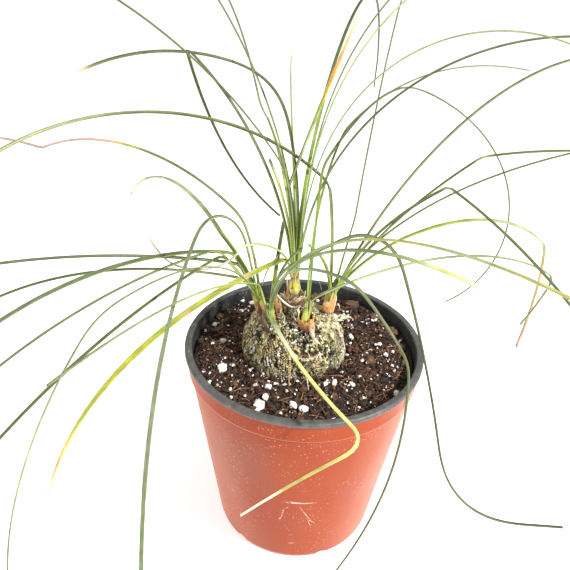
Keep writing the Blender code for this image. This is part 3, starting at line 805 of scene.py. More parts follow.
bark = bmesh.new()
along, across, tone = tint_layers(bark)
bmesh.ops.create_icosphere(bark, subdivisions=7, radius=1.0)
bases = {vert: caudex_point((vert.co + Vector((0, 0, 0.45))).normalized()) for vert in bark.verts}
for vert, base in bases.items():
    vert.co = base
bark.normal_update()
for vert in bark.verts:
    rise, lift, furrow_shade = bark_height(vert.co) if vert.co.z > BARK_FROM else (0.0, 0.0, 0.0)
    vert[along] = lift
    vert[across] = furrow_shade
    vert.co = vert.co + vert.normal * rise
finish_piece("corky_caudex", bark, (corky_bark(),), ["caudex"])

# Leaf blades: each leaf is a long channelled strap about 1 mm thick. It is 2 mm wide where
# it leaves the crown, soon narrows, and thins to a thread. Old ones turn to straw.
BLADE_SPREAD = 1.9
BLADE_SIDES = 10
BLADE_STEP = 2.6
BLADE_THICKEST = 1.05
CHANNEL = 0.36
ROOT_DEPTH = 5.0
ROOT_FADE = 30.0
FOOT_EXTRA, FOOT_FADE = 0.6, 7.0
GATHER, GATHER_FADE = 0.9, 9.0
NESTING = 0.13
FULLNESS = 1.32
THINS_FROM = 0.4
ROLL, ROLL_WAVE = math.radians(24.0), 62.0
WALK_STEP = 0.7
BULB_GRAIN = 4.0
TONES = {
    "leaf": (0.076, 0.098, 0.032), "deep": (0.050, 0.062, 0.028), "olive": (0.088, 0.096, 0.034),
    "grey": (0.120, 0.148, 0.070), "pale": (0.310, 0.360, 0.180), "lime": (0.400, 0.430, 0.075),
    "bulb": (0.600, 0.580, 0.130), "yellow": (0.780, 0.650, 0.130), "soft": (0.700, 0.640, 0.210),
    "milk": (0.680, 0.700, 0.480), "straw": (0.640, 0.520, 0.260), "cream": (0.800, 0.730, 0.530),
    "white": (0.840, 0.800, 0.700), "orange": (0.740, 0.330, 0.080),
    "amber": (0.560, 0.310, 0.080),
    "pink": (0.560, 0.330, 0.250), "rose": (0.440, 0.300, 0.250), "rust": (0.300, 0.120, 0.050),
    "brown": (0.085, 0.046, 0.028), "bark": (0.190, 0.115, 0.060), "peach": (0.780, 0.480, 0.270),
    "red": (0.560, 0.150, 0.045), "dark": (0.030, 0.016, 0.010), "bud": (0.250, 0.310, 0.040),
    "fresh": (0.215, 0.300, 0.040), "acid": (0.480, 0.500, 0.050), "dull": (0.400, 0.370, 0.110),
    "butter": (0.640, 0.640, 0.200),
}

# One leaf: compass heading and rise in degrees where it leaves the crown, length in
# millimetres, degrees that it droops and turns by the tip, and how late it droops.
# Each bend is (distance along, fall, turn, length of the bend). Tones are its colours at
# distances along it, and sizes its widths at the root, along the middle and at the tip.
Leaf = namedtuple("Leaf", "heading rise length droop turn sag bends tones sizes")


def leaf_heading(leaf, distance):
    """Compass heading and rise, in radians, at a distance along a leaf."""
    share = distance / leaf.length
    rise = leaf.rise - leaf.droop * share ** leaf.sag
    heading = leaf.heading + leaf.turn * share
    for at, fall, turn, over in leaf.bends:
        done = min(1.0, max(0.0, (distance - at) / over + 0.5))
        done = done * done * (3.0 - 2.0 * done)
        rise += fall * done
        heading += turn * done
    return math.radians(heading), math.radians(rise)


def between(stops, place):
    """A value between the two stops on either side of a place."""
    before = stops[0]
    for stop in stops:
        if stop[0] >= place:
            if stop[0] == before[0]:
                return stop[1]
            share = (place - before[0]) / (stop[0] - before[0])
            return before[1] + (stop[1] - before[1]) * share
        before = stop
    return before[1]


def leaf_rings(leaf, foot, top, rank):
    """Rings of a leaf from inside the crown to its tip: (distance, point, side, up)."""
    foot, top = Vector(foot), Vector(top)
    first = math.radians(leaf.heading)
    out = Vector((math.cos(first), math.sin(first), 0.0))
    nested = 1.0 - NESTING * (rank % 4)
    below = (foot - top).normalized()
    rings = [(-depth, top + below * depth + out * (BLADE_SPREAD * nested - GATHER),
              Vector((-out.y, out.x, 0.0)), -out) for depth in (ROOT_DEPTH, 0.5 * ROOT_DEPTH)]
    point = top + out * BLADE_SPREAD * nested
    count = math.ceil(leaf.length / BLADE_STEP)
    stops = [leaf.length * n / count for n in range(count + 1)]
    stops.insert(-1, leaf.length - 0.4 * leaf.sizes[2])
    travelled = 0.0
    for stop in stops:
        pieces = max(1, round((stop - travelled) / WALK_STEP))
        step = (stop - travelled) / pieces
        for piece in range(pieces):
            heading, rise = leaf_heading(leaf, travelled + (piece + 0.5) * step)
            point = point + step * Vector((math.cos(rise) * math.cos(heading),
                                           math.cos(rise) * math.sin(heading), math.sin(rise)))
        travelled = stop
        heading, rise = leaf_heading(leaf, stop)
        side = Vector((-math.sin(heading), math.cos(heading), 0.0))
        up = Vector((-math.sin(rise) * math.cos(heading),
                     -math.sin(rise) * math.sin(heading), math.cos(rise)))
        roll = ROLL * math.sin(stop / ROLL_WAVE + rank * 1.9) * min(1.0, stop / ROOT_FADE)
        rings.append((stop, point - out * GATHER * math.exp(-stop / GATHER_FADE),
                      side * math.cos(roll) + up * math.sin(roll),
                      up * math.cos(roll) - side * math.sin(roll)))
    return rings


def tone_stops(words):
    """Read "place tone, place tone" into pairs of a place and a colour."""
    pairs = [pair.split() for pair in words.split(",")]
    return [(float(place), Vector(TONES[name])) for place, name in pairs]


def add_leaf(bm, leaf, foot, top, rank, clasp):
    """One leaf: a closed channelled strap. clasp gives the tones of its root."""
    rings = leaf_rings(leaf, foot, top, rank)
    last = len(rings) - 1
    shades = tone_stops(clasp + "," + leaf.tones)
    root, middle, tip = leaf.sizes[0], FULLNESS * leaf.sizes[1], FULLNESS * leaf.sizes[2]

    def lay(share, turn):
        number, angle = round(share * last), math.tau * turn
        distance, point, side, up = rings[number]
        far, cross = max(0.0, distance), math.cos(angle)
        thinning = max(0.0, far / leaf.length - THINS_FROM) / (1.0 - THINS_FROM)
        width = (middle + (tip - middle) * thinning + (root - middle) * math.exp(-far / ROOT_FADE)
                 + FOOT_EXTRA * math.exp(-far / FOOT_FADE))
        half, deep = width / 2.0, min(BLADE_THICKEST, 0.28 + 0.50 * width) / 2.0
        if number in (0, last):
            half, deep = 0.0, 0.0
        body = math.copysign(abs(math.sin(angle)) ** 0.75, math.sin(angle))
        lift = deep * body + CHANNEL * half * (cross * cross - 0.3)
        place = point + side * half * cross + up * lift
        return place, distance, cross, between(shades, distance)

    lay_sheet(bm, last, BLADE_SIDES, lay, merge=0.004)


def upright(axis):
    """Turn that lays Z along an axis and keeps X to the right and Y to the back."""
    right = Vector((0.0, 1.0, 0.0)).cross(axis).normalized()
    return Matrix((right, axis.cross(right), axis)).transposed()


def add_bulb(bm, stations, lobes=5, groove=0.06):
    """A fleshy or woody body through (place, radius, tone) stations, closed at both ends."""
    last = len(stations) - 1
    path = [(n, Vector(station[0])) for n, station in enumerate(stations)]
    sizes = [(n, station[1]) for n, station in enumerate(stations)]
    shades = [(n, Vector(TONES[station[2]])) for n, station in enumerate(stations)]
    turn = upright((path[-1][1] - path[0][1]).normalized())

    def lay(part, round_by):
        share, angle = part * last, math.tau * round_by
        eased = math.floor(share) + (share % 1.0) ** 2 * (3.0 - 2.0 * (share % 1.0))
        radius = between(sizes, 0.5 * (share + eased)) if 0.001 < share < last - 0.001 else 0.0
        radius *= 1.0 + groove * math.sin(angle * lobes + share * 0.6)
        spoke = turn @ Vector((math.cos(angle), math.sin(angle), 0))
        return (between(path, share) + spoke * radius, share * BULB_GRAIN,
                math.sin(angle * lobes), between(shades, share))

    lay_sheet(bm, 5 * last, 30, lay, merge=0.004)


def fibrous(name, roughness, across_grain, along_grain):
    """A finish with a tone of its own, whose grain follows the piece and not the room."""
    material, tree, shader, place = new_finish(name, roughness)
    tone = attribute(tree, "tone", "Color")
    cross = attribute(tree, "across", "Fac")
    far = attribute(tree, "along", "Fac")
    skin = put(tree, "ShaderNodeCombineXYZ", _0=maths(tree, "MULTIPLY", cross, across_grain),
               _1=maths(tree, "MULTIPLY", far, along_grain), _2=0.0)
    return material, tree, shader, place, tone, cross, far, skin.outputs[0]


def blade_finish():
    """Leaf skin: its own tone, fine ribs along it, pale margins that are a painted highlight,
    and a satin sheen.
    """
    material, tree, shader, place, tone, cross, far, skin = fibrous("leaf_skin", 0.42, 3.5, 0.05)
    ribs = speckle(tree, skin, 2.2, 3.0)
    colour = blend(tree, 1.0, tone, ramp(tree, ribs, (0.32, 0.58), (0.68, 1.45)), "MULTIPLY")
    # Painted highlight: the margins are lightened, most near the root.
    edge = ramp(tree, maths(tree, "ABSOLUTE", cross), (0.60, 0.0), (0.95, 0.55))
    young = put(tree, "ShaderNodeMapRange", _0=far, _1=10.0, _2=90.0, _3=1.0, _4=0.25)
    edge = maths(tree, "MULTIPLY", edge, young.outputs[0])
    colour = blend(tree, edge, colour, (0.46, 0.53, 0.20))
    mottle = speckle(tree, place, 190.0, 4.0)
    colour = blend(tree, 1.0, colour, ramp(tree, mottle, (0.30, 0.80), (0.70, 1.18)), "MULTIPLY")
    tree.links.new(ramp(tree, ribs, (0.3, 0.36), (0.7, 0.52)), shader.inputs["Roughness"])
    shader.inputs["Specular IOR Level"].default_value = 0.22
    lay_on(tree, shader, colour, ribs, 0.12)
    return material


leaf_skin = blade_finish()


def make_tuft(name, node, foot, top, leaves, clasp, cores):
    """A crown and its leaves as one piece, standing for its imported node.

    clasp gives the tones of every leaf's root, and cores the stations of each bulb or bud.
    """
    parts = []
    for stations in cores:
        part = bmesh.new()
        add_bulb(part, stations)
        parts.append(part)
    for rank, leaf in enumerate(leaves):
        part = bmesh.new()
        add_leaf(part, leaf, foot, top, rank, clasp)
        parts.append(part)
    tuft = add_batch(bmesh.new(), parts)
    bmesh.ops.recalc_face_normals(tuft, faces=tuft.faces)
    finish_piece(name, tuft, (leaf_skin,), [node])


# Left tuft: the oldest side shoot. Nine leaves fan out to the left from a base that has
# turned yellow and orange; one ends in a dry pink curl and one in a pale tip.
make_tuft("leaves_left", "tuft_left", (-19, 3, 117), (-22, 4, 130), (
    Leaf(180, 67, 290, 61, -1, 1.3, [(20, -51, 16, 8)], "20 deep", (2.1, 2.0, 1.3)),
    Leaf(185, 60, 280, 96, 0, 1.15, [(13, -47, -4, 8)], "45 leaf", (1.6, 1.1, 0.6)),
    Leaf(174, 70, 280, 115, 2, 0.9, [(26, -37, 38, 6)], "45 leaf, 90 grey", (1.7, 1.6, 1.0)),
    Leaf(198, 62, 286, 79, 1, 1.0, [(34, -50, 22, 8)], "45 leaf, 120 deep", (1.6, 0.9, 0.6)),
    Leaf(250, 62, 300, 121, -10, 0.8, [(126, -48, -23, 20)],
         "20 grey, 130 grey, 170 pale, 215 grey", (1.2, 0.45, 0.4)),
    Leaf(208, 62, 290, 66, -3, 1.0, [(32, -59, 22, 8)], "45 leaf, 160 olive", (1.4, 1.05, 0.75)),
    Leaf(148, 65, 137, 113, 2, 1.05, [(35, -4, -18, 8)],
         "20 fresh, 45 grey, 60 pale, 105 pale, 122 milk", (2.0, 1.8, 1.2)),
    Leaf(156, 90, 250, 131, 4, 0.95, [(41, -29, -2, 15), (163, 38, 10, 4)],
         "45 leaf, 90 leaf, 106 lime, 112 orange, 118 pink, 170 rose", (1.6, 1.3, 0.9)),
    Leaf(197, 84, 235, 44, 39, 0.9, [(52, -100, 46, 49)], "45 leaf, 50 grey", (1.3, 1.15, 1.2)),
), "-4 amber, -1 lime, 6 fresh", (
    (((-22.0, 3.9, 123.5), 0.7, "brown"), ((-22.6, 4.0, 125.5), 1.5, "orange"),
     ((-23.3, 4.0, 128.0), 1.85, "amber"), ((-23.8, 4.0, 130.5), 1.9, "bulb"),
     ((-25.2, 4.0, 134.0), 1.3, "olive"), ((-26.2, 4.0, 136.5), 0.5, "leaf")),
))

# Front tuft: the lowest crown, at the caudex's front edge. One yellowed leaf hangs over the
# pot's rim and is folded sharply across its front; a green bud sits in the fork.
make_tuft("leaves_front", "tuft_front", (-14, -8, 117), (-17, -8, 129), (
    Leaf(221, 79, 150, 38, -8, 1.0, [(19, -40, 32, 6)], "45 fresh, 110 grey", (1.3, 0.6, 0.5)),
    Leaf(326, 97, 270, 34, 7, 0.5, [(21, -44, 12, 31), (75, -100, -7, 38), (214, 70, 29, 82)],
         "16 grey, 50 grey, 90 leaf, 130 deep", (1.9, 1.4, 1.1)),
    Leaf(302, 90, 295, 133, 19, 0.6, (),
         "20 grey, 75 pale, 95 dull, 110 dull, 130 pale, 155 dull, 295 pale", (1.8, 0.95, 0.5)),
    Leaf(306, 91, 122, 105, 24, 0.75, (),
         "16 grey, 40 pale, 80 grey, 98 pale, 114 soft, 122 cream", (1.9, 1.35, 1.1)),
    Leaf(279, 78, 300, 112, 44, 0.6, [(108, -67, 64, 12), (144, -21, -17, 15)],
         "16 grey, 50 pale, 100 grey, 150 leaf, 300 deep", (1.9, 0.9, 0.45)),
    Leaf(290, -5, 129, -6, 29, 1.1, [(79, -26, -115, 19)],
         "2 grey, 9 pale, 20 milk, 32 butter, 60 butter, 80 soft, 90 dull, 111 dull, 115 cream",
         (2.0, 1.45, 0.6)),
    Leaf(81, 61, 57, 73, 7, 1.15, (), "15 fresh, 30 leaf", (1.7, 1.7, 1.5)),
    Leaf(21, 90, 38, 55, -10, 1.65, (), "15 leaf, 38 grey", (1.5, 1.0, 0.8)),
), "-4 lime, 2 fresh", (
    (((-15.0, -8.0, 125.5), 0.8, "rust"), ((-15.8, -8.4, 128.0), 1.6, "amber"),
     ((-17.0, -9.0, 131.5), 1.9, "olive"), ((-17.9, -9.3, 134.5), 1.7, "leaf"),
     ((-18.2, -9.2, 137.5), 0.9, "leaf")),
    (((-15.9, -10.6, 129.2), 0.4, "bud"), ((-16.0, -11.0, 131.0), 1.25, "lime"),
     ((-16.2, -11.1, 133.3), 1.45, "bud"), ((-16.3, -11.0, 135.4), 0.9, "leaf"),
     ((-16.4, -10.9, 137.0), 0.25, "leaf")),
    (((-18.4, -10.0, 137.4), 0.3, "leaf"), ((-18.4, -10.5, 135.6), 0.9, "leaf"),
     ((-18.1, -10.9, 133.2), 1.1, "leaf"), ((-17.4, -11.1, 131.0), 1.15, "grey"),
     ((-16.3, -11.6, 129.2), 1.1, "grey"), ((-15.4, -12.6, 128.6), 0.4, "grey")),
))

# Middle tuft: the main shoot, on its old stem base. Its swollen yellow bulb carries the
# tallest leaves; some are yellowing or dry, one is snapped and hangs.
make_tuft("leaves_middle", "tuft_middle", (-6, 4, 121), (-6, 6, 137), (
    Leaf(141, 90, 232, 104, 7, 0.82, [(121, -168, -30, 3)], "45 leaf, 120 leaf, 230 deep",
         (1.7, 1.25, 0.6)),
    Leaf(165, 90, 260, 76, 1, 1.25, [(56, -21, 19, 12)], "30 fresh, 60 leaf", (1.6, 0.6, 0.5)),
    Leaf(142, 98, 205, 94, -23, 0.9, (), "40 fresh, 90 grey", (1.2, 0.65, 0.5)),
    Leaf(208, 90, 195, 84, 0, 1.4, [(86, -14, -97, 12)], "30 leaf, 90 grey", (1.4, 0.6, 0.5)),
    Leaf(119, 97, 174, 95, 18, 1.3, [(93, -26, 64, 43)],
         "45 leaf, 130 deep, 168 leaf, 171 straw, 174 milk", (1.6, 1.2, 1.0)),
    Leaf(103, 90, 146, 98, -15, 1.0, (), "30 deep, 50 fresh, 90 pale, 146 milk", (1.5, 0.8, 0.5)),
    Leaf(360, 98, 207, 48, 93, 2.6, [(50, -25, -12, 4)],
         "45 leaf, 60 leaf, 70 pale, 88 lime, 100 orange, 112 straw, 125 cream", (1.8, 1.4, 0.8)),
    Leaf(66, 95, 282, 171, 14, 1.15, [(264, -3, 6, 13)], "60 fresh, 100 leaf, 150 deep, 282 leaf",
         (1.9, 1.15, 0.65)),
    Leaf(17, 90, 275, 200, -5, 2.1, (), "20 fresh, 60 leaf, 275 deep", (1.5, 0.5, 0.35)),
    Leaf(346, 90, 200, 104, 1, 2.05, (), "40 fresh, 200 pale", (1.5, 0.45, 0.35)),
    Leaf(167, 90, 62, 27, -8, 1.2, (), "8 lime, 38 lime, 48 butter, 54 butter, 58 grey",
         (2.6, 2.0, 1.5)),
    Leaf(113, 88, 85, 66, -4, 1.0, (), "12 leaf, 45 fresh, 78 straw, 85 brown", (2.0, 1.2, 0.8)),
    Leaf(219, 82, 196, 54, 13, 1.2, [(16, -101, -26, 10), (193, -29, 0, 2)],
         "8 fresh, 24 bud, 33 lime, 35 peach, 37 lime, 66 lime, 68 peach, "
         "70 lime, 110 acid, 145 acid, 158 yellow, 170 orange, 180 straw, 196 cream",
         (1.8, 2.7, 2.2)),
    Leaf(220, 97, 116, 202, 6, 0.85, [(50, -121, 112, 4), (87, 22, -30, 7)],
         "10 lime, 40 pale, 58 cream, 80 pink, 116 rose", (1.2, 1.1, 0.6)),
    Leaf(323, 90, 260, 200, 2, 1.7, (), "30 leaf, 120 pale", (1.4, 0.42, 0.35)),
    Leaf(347, 90, 300, 182, 5, 1.25, (), "45 leaf, 100 deep, 300 olive", (1.9, 0.8, 0.6)),
), "-4 bulb, 4 bulb, 8 lime, 12 fresh", (
    (((-6.4, 4.4, 132.0), 1.2, "amber"), ((-6.4, 4.5, 134.0), 2.6, "lime"),
     ((-6.4, 4.6, 136.6), 3.0, "bulb"), ((-6.4, 4.8, 139.0), 2.6, "acid"),
     ((-6.3, 5.2, 141.6), 1.6, "lime"), ((-6.2, 5.7, 144.0), 0.9, "fresh"),
     ((-6.0, 6.0, 145.8), 0.3, "leaf")),
))

# Small tuft: a young shoot low on the front right, with three leaves, set in a ring of
# torn orange bud scales.
make_tuft("leaves_small", "tuft_small", (1, -12, 117), (0, -11, 127), (
    Leaf(70, 90, 346, 176, -21, 1.9, [(73, -57, -2, 12), (178, -1, -56, 15)],
         "40 fresh, 90 leaf, 346 grey", (0.4, 0.9, 0.7)),
    Leaf(91, 44, 275, 49, -60, 1.1, [(109, -6, -10, 12)], "40 fresh, 90 leaf", (0.5, 1.0, 0.7)),
    Leaf(355, 90, 198, 68, 3, 1.1, [(14, -68, 28, 6), (164, -68, -34, 12)],
         "14 grey, 40 pale, 90 grey, 198 pale", (1.8, 1.45, 1.3)),
), "-4 bulb, 4 bulb, 8 fresh", (
    (((0.2, -11.8, 126.0), 1.0, "amber"), ((-0.6, -12.4, 128.5), 1.7, "acid"),
     ((-1.0, -12.3, 131.0), 1.7, "bulb"), ((-0.9, -11.8, 133.5), 1.3, "lime"),
     ((-0.6, -11.2, 136.5), 0.7, "leaf")),
))

# Right tuft: the right-hand shoot, behind the caudex's shoulder, from a base wrapped in
# peach coloured scales. Two leaves are kinked and pale at the kink, one tail is dry.
make_tuft("leaves_right", "tuft_right", (9, 5, 118), (12, 8, 131), (
    Leaf(132, 90, 350, 192, -1, 1.4, [(55, -31, 73, 10)], "45 leaf, 150 leaf, 180 pale, 230 leaf",
         (1.6, 1.6, 1.1)),
    Leaf(59, 69, 195, 85, 9, 1.3, [(38, 10, 12, 10)], "20 grey", (1.0, 0.65, 0.5)),
    Leaf(34, 64, 300, 103, 0, 1.05, (), "20 olive, 300 leaf", (1.6, 1.15, 0.8)),
    Leaf(6, 71, 281, 72, 3, 0.65, [(92, -27, -1, 6)], "45 leaf, 88 leaf, 92 pale, 97 leaf",
         (1.8, 0.9, 0.6)),
    Leaf(343, 81, 260, 91, 3, 0.6, (), "45 leaf", (1.9, 0.6, 0.45)),
    Leaf(324, 82, 290, 93, 1, 0.65, [(84, -53, -15, 2)], "45 leaf, 80 leaf, 84 pale, 88 leaf",
         (1.9, 1.05, 0.6)),
    Leaf(12, 70, 211, 147, 28, 0.7, [(141, -30, 6, 10)],
         "30 fresh, 70 bud, 95 pale, 125 pale, 160 straw, 211 rose", (2.0, 2.0, 1.5)),
    Leaf(72, 14, 170, 22, 0, 1.2, (), "12 straw, 170 pink", (0.5, 0.4, 0.35)),
    Leaf(204, 90, 34, 53, 0, 1.35, (), "12 lime", (2.2, 2.4, 2.0)),
), "-4 amber, 2 lime, 10 fresh", (
    (((10.2, 6.2, 125.5), 1.5, "peach"), ((10.8, 6.8, 128.0), 2.5, "amber"),
     ((11.4, 7.4, 131.0), 2.6, "lime"), ((12.4, 8.0, 134.5), 2.0, "olive"),
     ((13.4, 8.4, 139.0), 1.0, "olive"), ((14.0, 8.6, 141.5), 0.4, "leaf")),
))

# Dry scales: papery bud scales and the torn sheaths of dead leaves, thin as onion skin,
# that still wrap the foot of each crown. Loose fibres and flakes lie about them.
CREASE = 0.45
CUPPING = 0.35


def papery():
    """Dry sheath: fibrous along its length, scorched and bleached in patches."""
    material, tree, shader, place, tone, *_, skin = fibrous("papery_sheath", 0.75, 9.0, 0.35)
    threads = speckle(tree, skin, 2.0, 4.0, 0.65)
    colour = blend(tree, 1.0, tone, ramp(tree, threads, (0.28, 0.40), (0.70, 1.40)), "MULTIPLY")
    scorched = speckle(tree, place, 430.0, 4.0, 0.65, (1, 1, 0.6))
    scorched = ramp(tree, scorched, (0.52, 0.0), (0.66, 0.65))
    colour = blend(tree, scorched, colour, (0.11, 0.055, 0.030))
    bleached = speckle(tree, place, 610.0, 4.0, 0.65, (1, 1, 0.5))
    bleached = ramp(tree, bleached, (0.56, 0.0), (0.68, 0.35))
    colour = blend(tree, bleached, colour, (0.82, 0.70, 0.52))
    lay_on(tree, shader, colour, threads, 0.35)
    return material


dry_paper = papery()


def add_wrap(bm, foot, top, radii, start, span, torn, tones, seed, thickness=0.22):
    """A torn scale wrapped round a crown: radii go from its foot to its torn edge."""
    foot, top = Vector(foot), Vector(top)
    turn = upright((top - foot).normalized())
    shades = tone_stops(tones)
    rims = [(number / (len(radii) - 1), radius) for number, radius in enumerate(radii)]

    def lay(part, share):
        angle = math.radians(start + span * part)
        spot = Vector((math.cos(angle), math.sin(angle), 0.0))
        ragged = noise.noise(spot * 2.6 + Vector((seed, 0, 0)))
        ragged += 0.6 * noise.noise(spot * 7.0 + Vector((0, seed, 0)))
        ends = min(1.0, (1.0 - abs(2.0 * part - 1.0)) * 3.0)
        reach = share * (1.0 + torn * (ragged - 0.4)) * (0.55 + 0.45 * ends)
        crease = CREASE * noise.noise(spot * 4.0 + Vector((0, 0, share * 2.0 + seed)))
        place = foot.lerp(top, reach) + turn @ (spot * (between(rims, share) + crease))
        return place, share * (top - foot).length, angle * 1.2, between(shades, share)

    lay_sheet(bm, max(6, int(span / 7)), 12, lay, thickness=thickness)


def add_flap(bm, points, widths, tones, side, thickness=0.25):
    """A loose strip of scale or bark through a few points, widths and tones given at each."""
    count = len(points) - 1
    path = [(number / count, Vector(point)) for number, point in enumerate(points)]
    spans = [(number / count, width) for number, width in enumerate(widths)]
    shades = [(number / count, Vector(TONES[name])) for number, name in enumerate(tones.split())]
    side = Vector(side).normalized()

    def lay(share, part):
        reach = 2.0 * part - 1.0
        torn = 1.0 + 0.35 * noise.noise(Vector((share * 9.0, reach * 2.0, points[0][0])))
        ahead = between(path, min(1.0, share + 0.02)) - between(path, max(0.0, share - 0.02))
        up = side.cross(ahead.normalized()).normalized()
        half = between(spans, share) / 2.0 * torn
        place = between(path, share) + side * half * reach + up * half * CUPPING * reach * reach
        return place, share * 12.0, reach, between(shades, share)

    lay_sheet(bm, 4 * count, 6, lay, thickness=thickness)


scales = bmesh.new()
tint_layers(scales)
# The old stem base under the middle tuft, in purple brown scales with a frilled edge
add_bulb(scales, (((-6.8, 4.0, 127.5), 4.6, "brown"), ((-6.9, 4.0, 129.5), 4.7, "bark"),
                  ((-6.9, 4.2, 132.0), 4.1, "brown"), ((-6.7, 4.4, 134.2), 3.1, "bark"),
                  ((-6.5, 4.5, 135.2), 2.0, "brown")), 7, 0.07)
add_wrap(scales, (-6.9, 4, 128), (-6.9, 4.2, 136.4), (5.0, 4.9, 4.1, 4.2), 150, 130, 0.5,
         "0 brown, 0.5 bark, 0.8 peach, 1 amber", 1.0)
add_wrap(scales, (-6.9, 4, 127), (-6.6, 4.4, 134.6), (5.0, 4.9, 4.3, 3.9), 240, 200, 0.5,
         "0 brown, 0.5 bark, 0.8 rust, 1 bark", 21.0)
add_wrap(scales, (-7.2, 4, 127), (-6.6, 4.4, 134.0), (5.5, 5.2, 4.6, 4.3), 205, 110, 0.6,
         "0 rust, 0.5 bark, 1 brown", 5.0)
add_wrap(scales, (-6.6, 4, 126), (-6.2, 4.4, 132.5), (6.0, 5.6, 5.0), 260, 120, 0.7,
         "0 brown, 0.6 bark, 1 pink", 9.0)
# Dry strips that stand up round the neck of the bulb
add_wrap(scales, (-6.4, 4.6, 137.4), (-6.2, 5.8, 151.0), (2.9, 2.3, 1.8, 1.9), 215, 75, 0.9,
         "0 rust, 0.3 orange, 0.7 peach, 1 straw", 31.0)
add_wrap(scales, (-6.4, 4.6, 137.0), (-6.0, 5.8, 149.0), (3.0, 2.5, 2.1, 2.3), 300, 70, 0.9,
         "0 amber, 0.4 lime, 0.8 straw, 1 cream", 43.0)
add_wrap(scales, (-6.4, 4.6, 135.0), (-6.4, 4.9, 140.0), (3.1, 3.4, 3.5), 165, 80, 0.9,
         "0 rust, 0.5 orange, 1 cream", 53.0)
add_wrap(scales, (-6.9, 4.0, 130.5), (-6.8, 4.2, 135.4), (4.3, 5.3, 6.1), 165, 270, 0.6,
         "0 bark, 0.5 peach, 1 cream", 71.0)
# The orange cup round the small tuft, which leans to the front
add_wrap(scales, (0.2, -11.0, 125.5), (-0.9, -12.8, 133.4), (2.9, 3.5, 3.7, 4.0), 150, 330, 0.25,
         "0 rust, 0.45 red, 0.8 orange, 1 amber", 3.0, 0.3)
add_wrap(scales, (0.0, -10.8, 126.5), (-0.8, -12.0, 134.5), (2.4, 3.0, 3.1, 3.3), 30, 170, 0.35,
         "0 dark, 0.6 rust, 0.9 amber, 1 cream", 17.0, 0.25)
add_flap(scales, ((1.4, -14.4, 132.2), (2.0, -16.2, 129.8), (2.6, -17.5, 126.4),
                  (3.2, -18.4, 122.4)),
         (2.6, 3.0, 2.4, 0.6), "orange peach cream straw", (1, -0.3, 0))
add_flap(scales, ((-3.6, -12.4, 134.0), (-4.6, -12.0, 135.4), (-4.2, -11.4, 136.4),
                  (-3.0, -11.2, 136.8)),
         (0.6, 1.5, 1.4, 0.4), "cream cream peach cream", (0.4, 1, 0.2))
# The peach sheath of the right tuft, with a point down the caudex
add_wrap(scales, (10.0, 5.0, 124.0), (11.0, 6.4, 131.0), (3.3, 3.5, 3.2, 3.1), 175, 290, 0.8,
         "0 rust, 0.3 orange, 0.7 peach, 1 cream", 7.0, 0.3)
add_wrap(scales, (10.0, 5.0, 124.0), (11.3, 6.8, 134.0), (3.1, 3.3, 2.9, 2.7), 230, 160, 0.9,
         "0 rust, 0.4 amber, 0.8 orange, 1 straw", 27.0)
add_flap(scales, ((9.6, 1.8, 131.0), (9.4, 1.2, 128.5), (9.6, 1.2, 126.5), (9.9, 1.5, 124.0)),
         (3.0, 3.6, 2.4, 0.4), "peach orange amber brown", (1, 0.1, 0))
# The left tuft's yellow sheath and the brown flap that runs down the bark
add_wrap(scales, (-21.6, 3.8, 122.5), (-23.5, 4.0, 130.6), (1.6, 2.1, 2.2, 2.3), 190, 260, 0.5,
         "0 rust, 0.4 orange, 0.8 amber, 1 straw", 11.0)
add_flap(scales, ((-22.1, -5.4, 132.8), (-21.9, -6.4, 129.0), (-21.0, -7.6, 126.0),
                  (-19.8, -8.6, 122.6)),
         (0.8, 2.6, 3.0, 0.6), "bark brown bark rust", (1, -0.5, 0.2))
add_flap(scales, ((-19.6, -9.6, 131.5), (-19.4, -11.4, 128.4), (-18.6, -13.0, 125.0),
                  (-17.6, -14.4, 121.4)),
         (1.4, 2.4, 2.0, 0.5), "rust bark brown bark", (1, -0.4, 0.1))
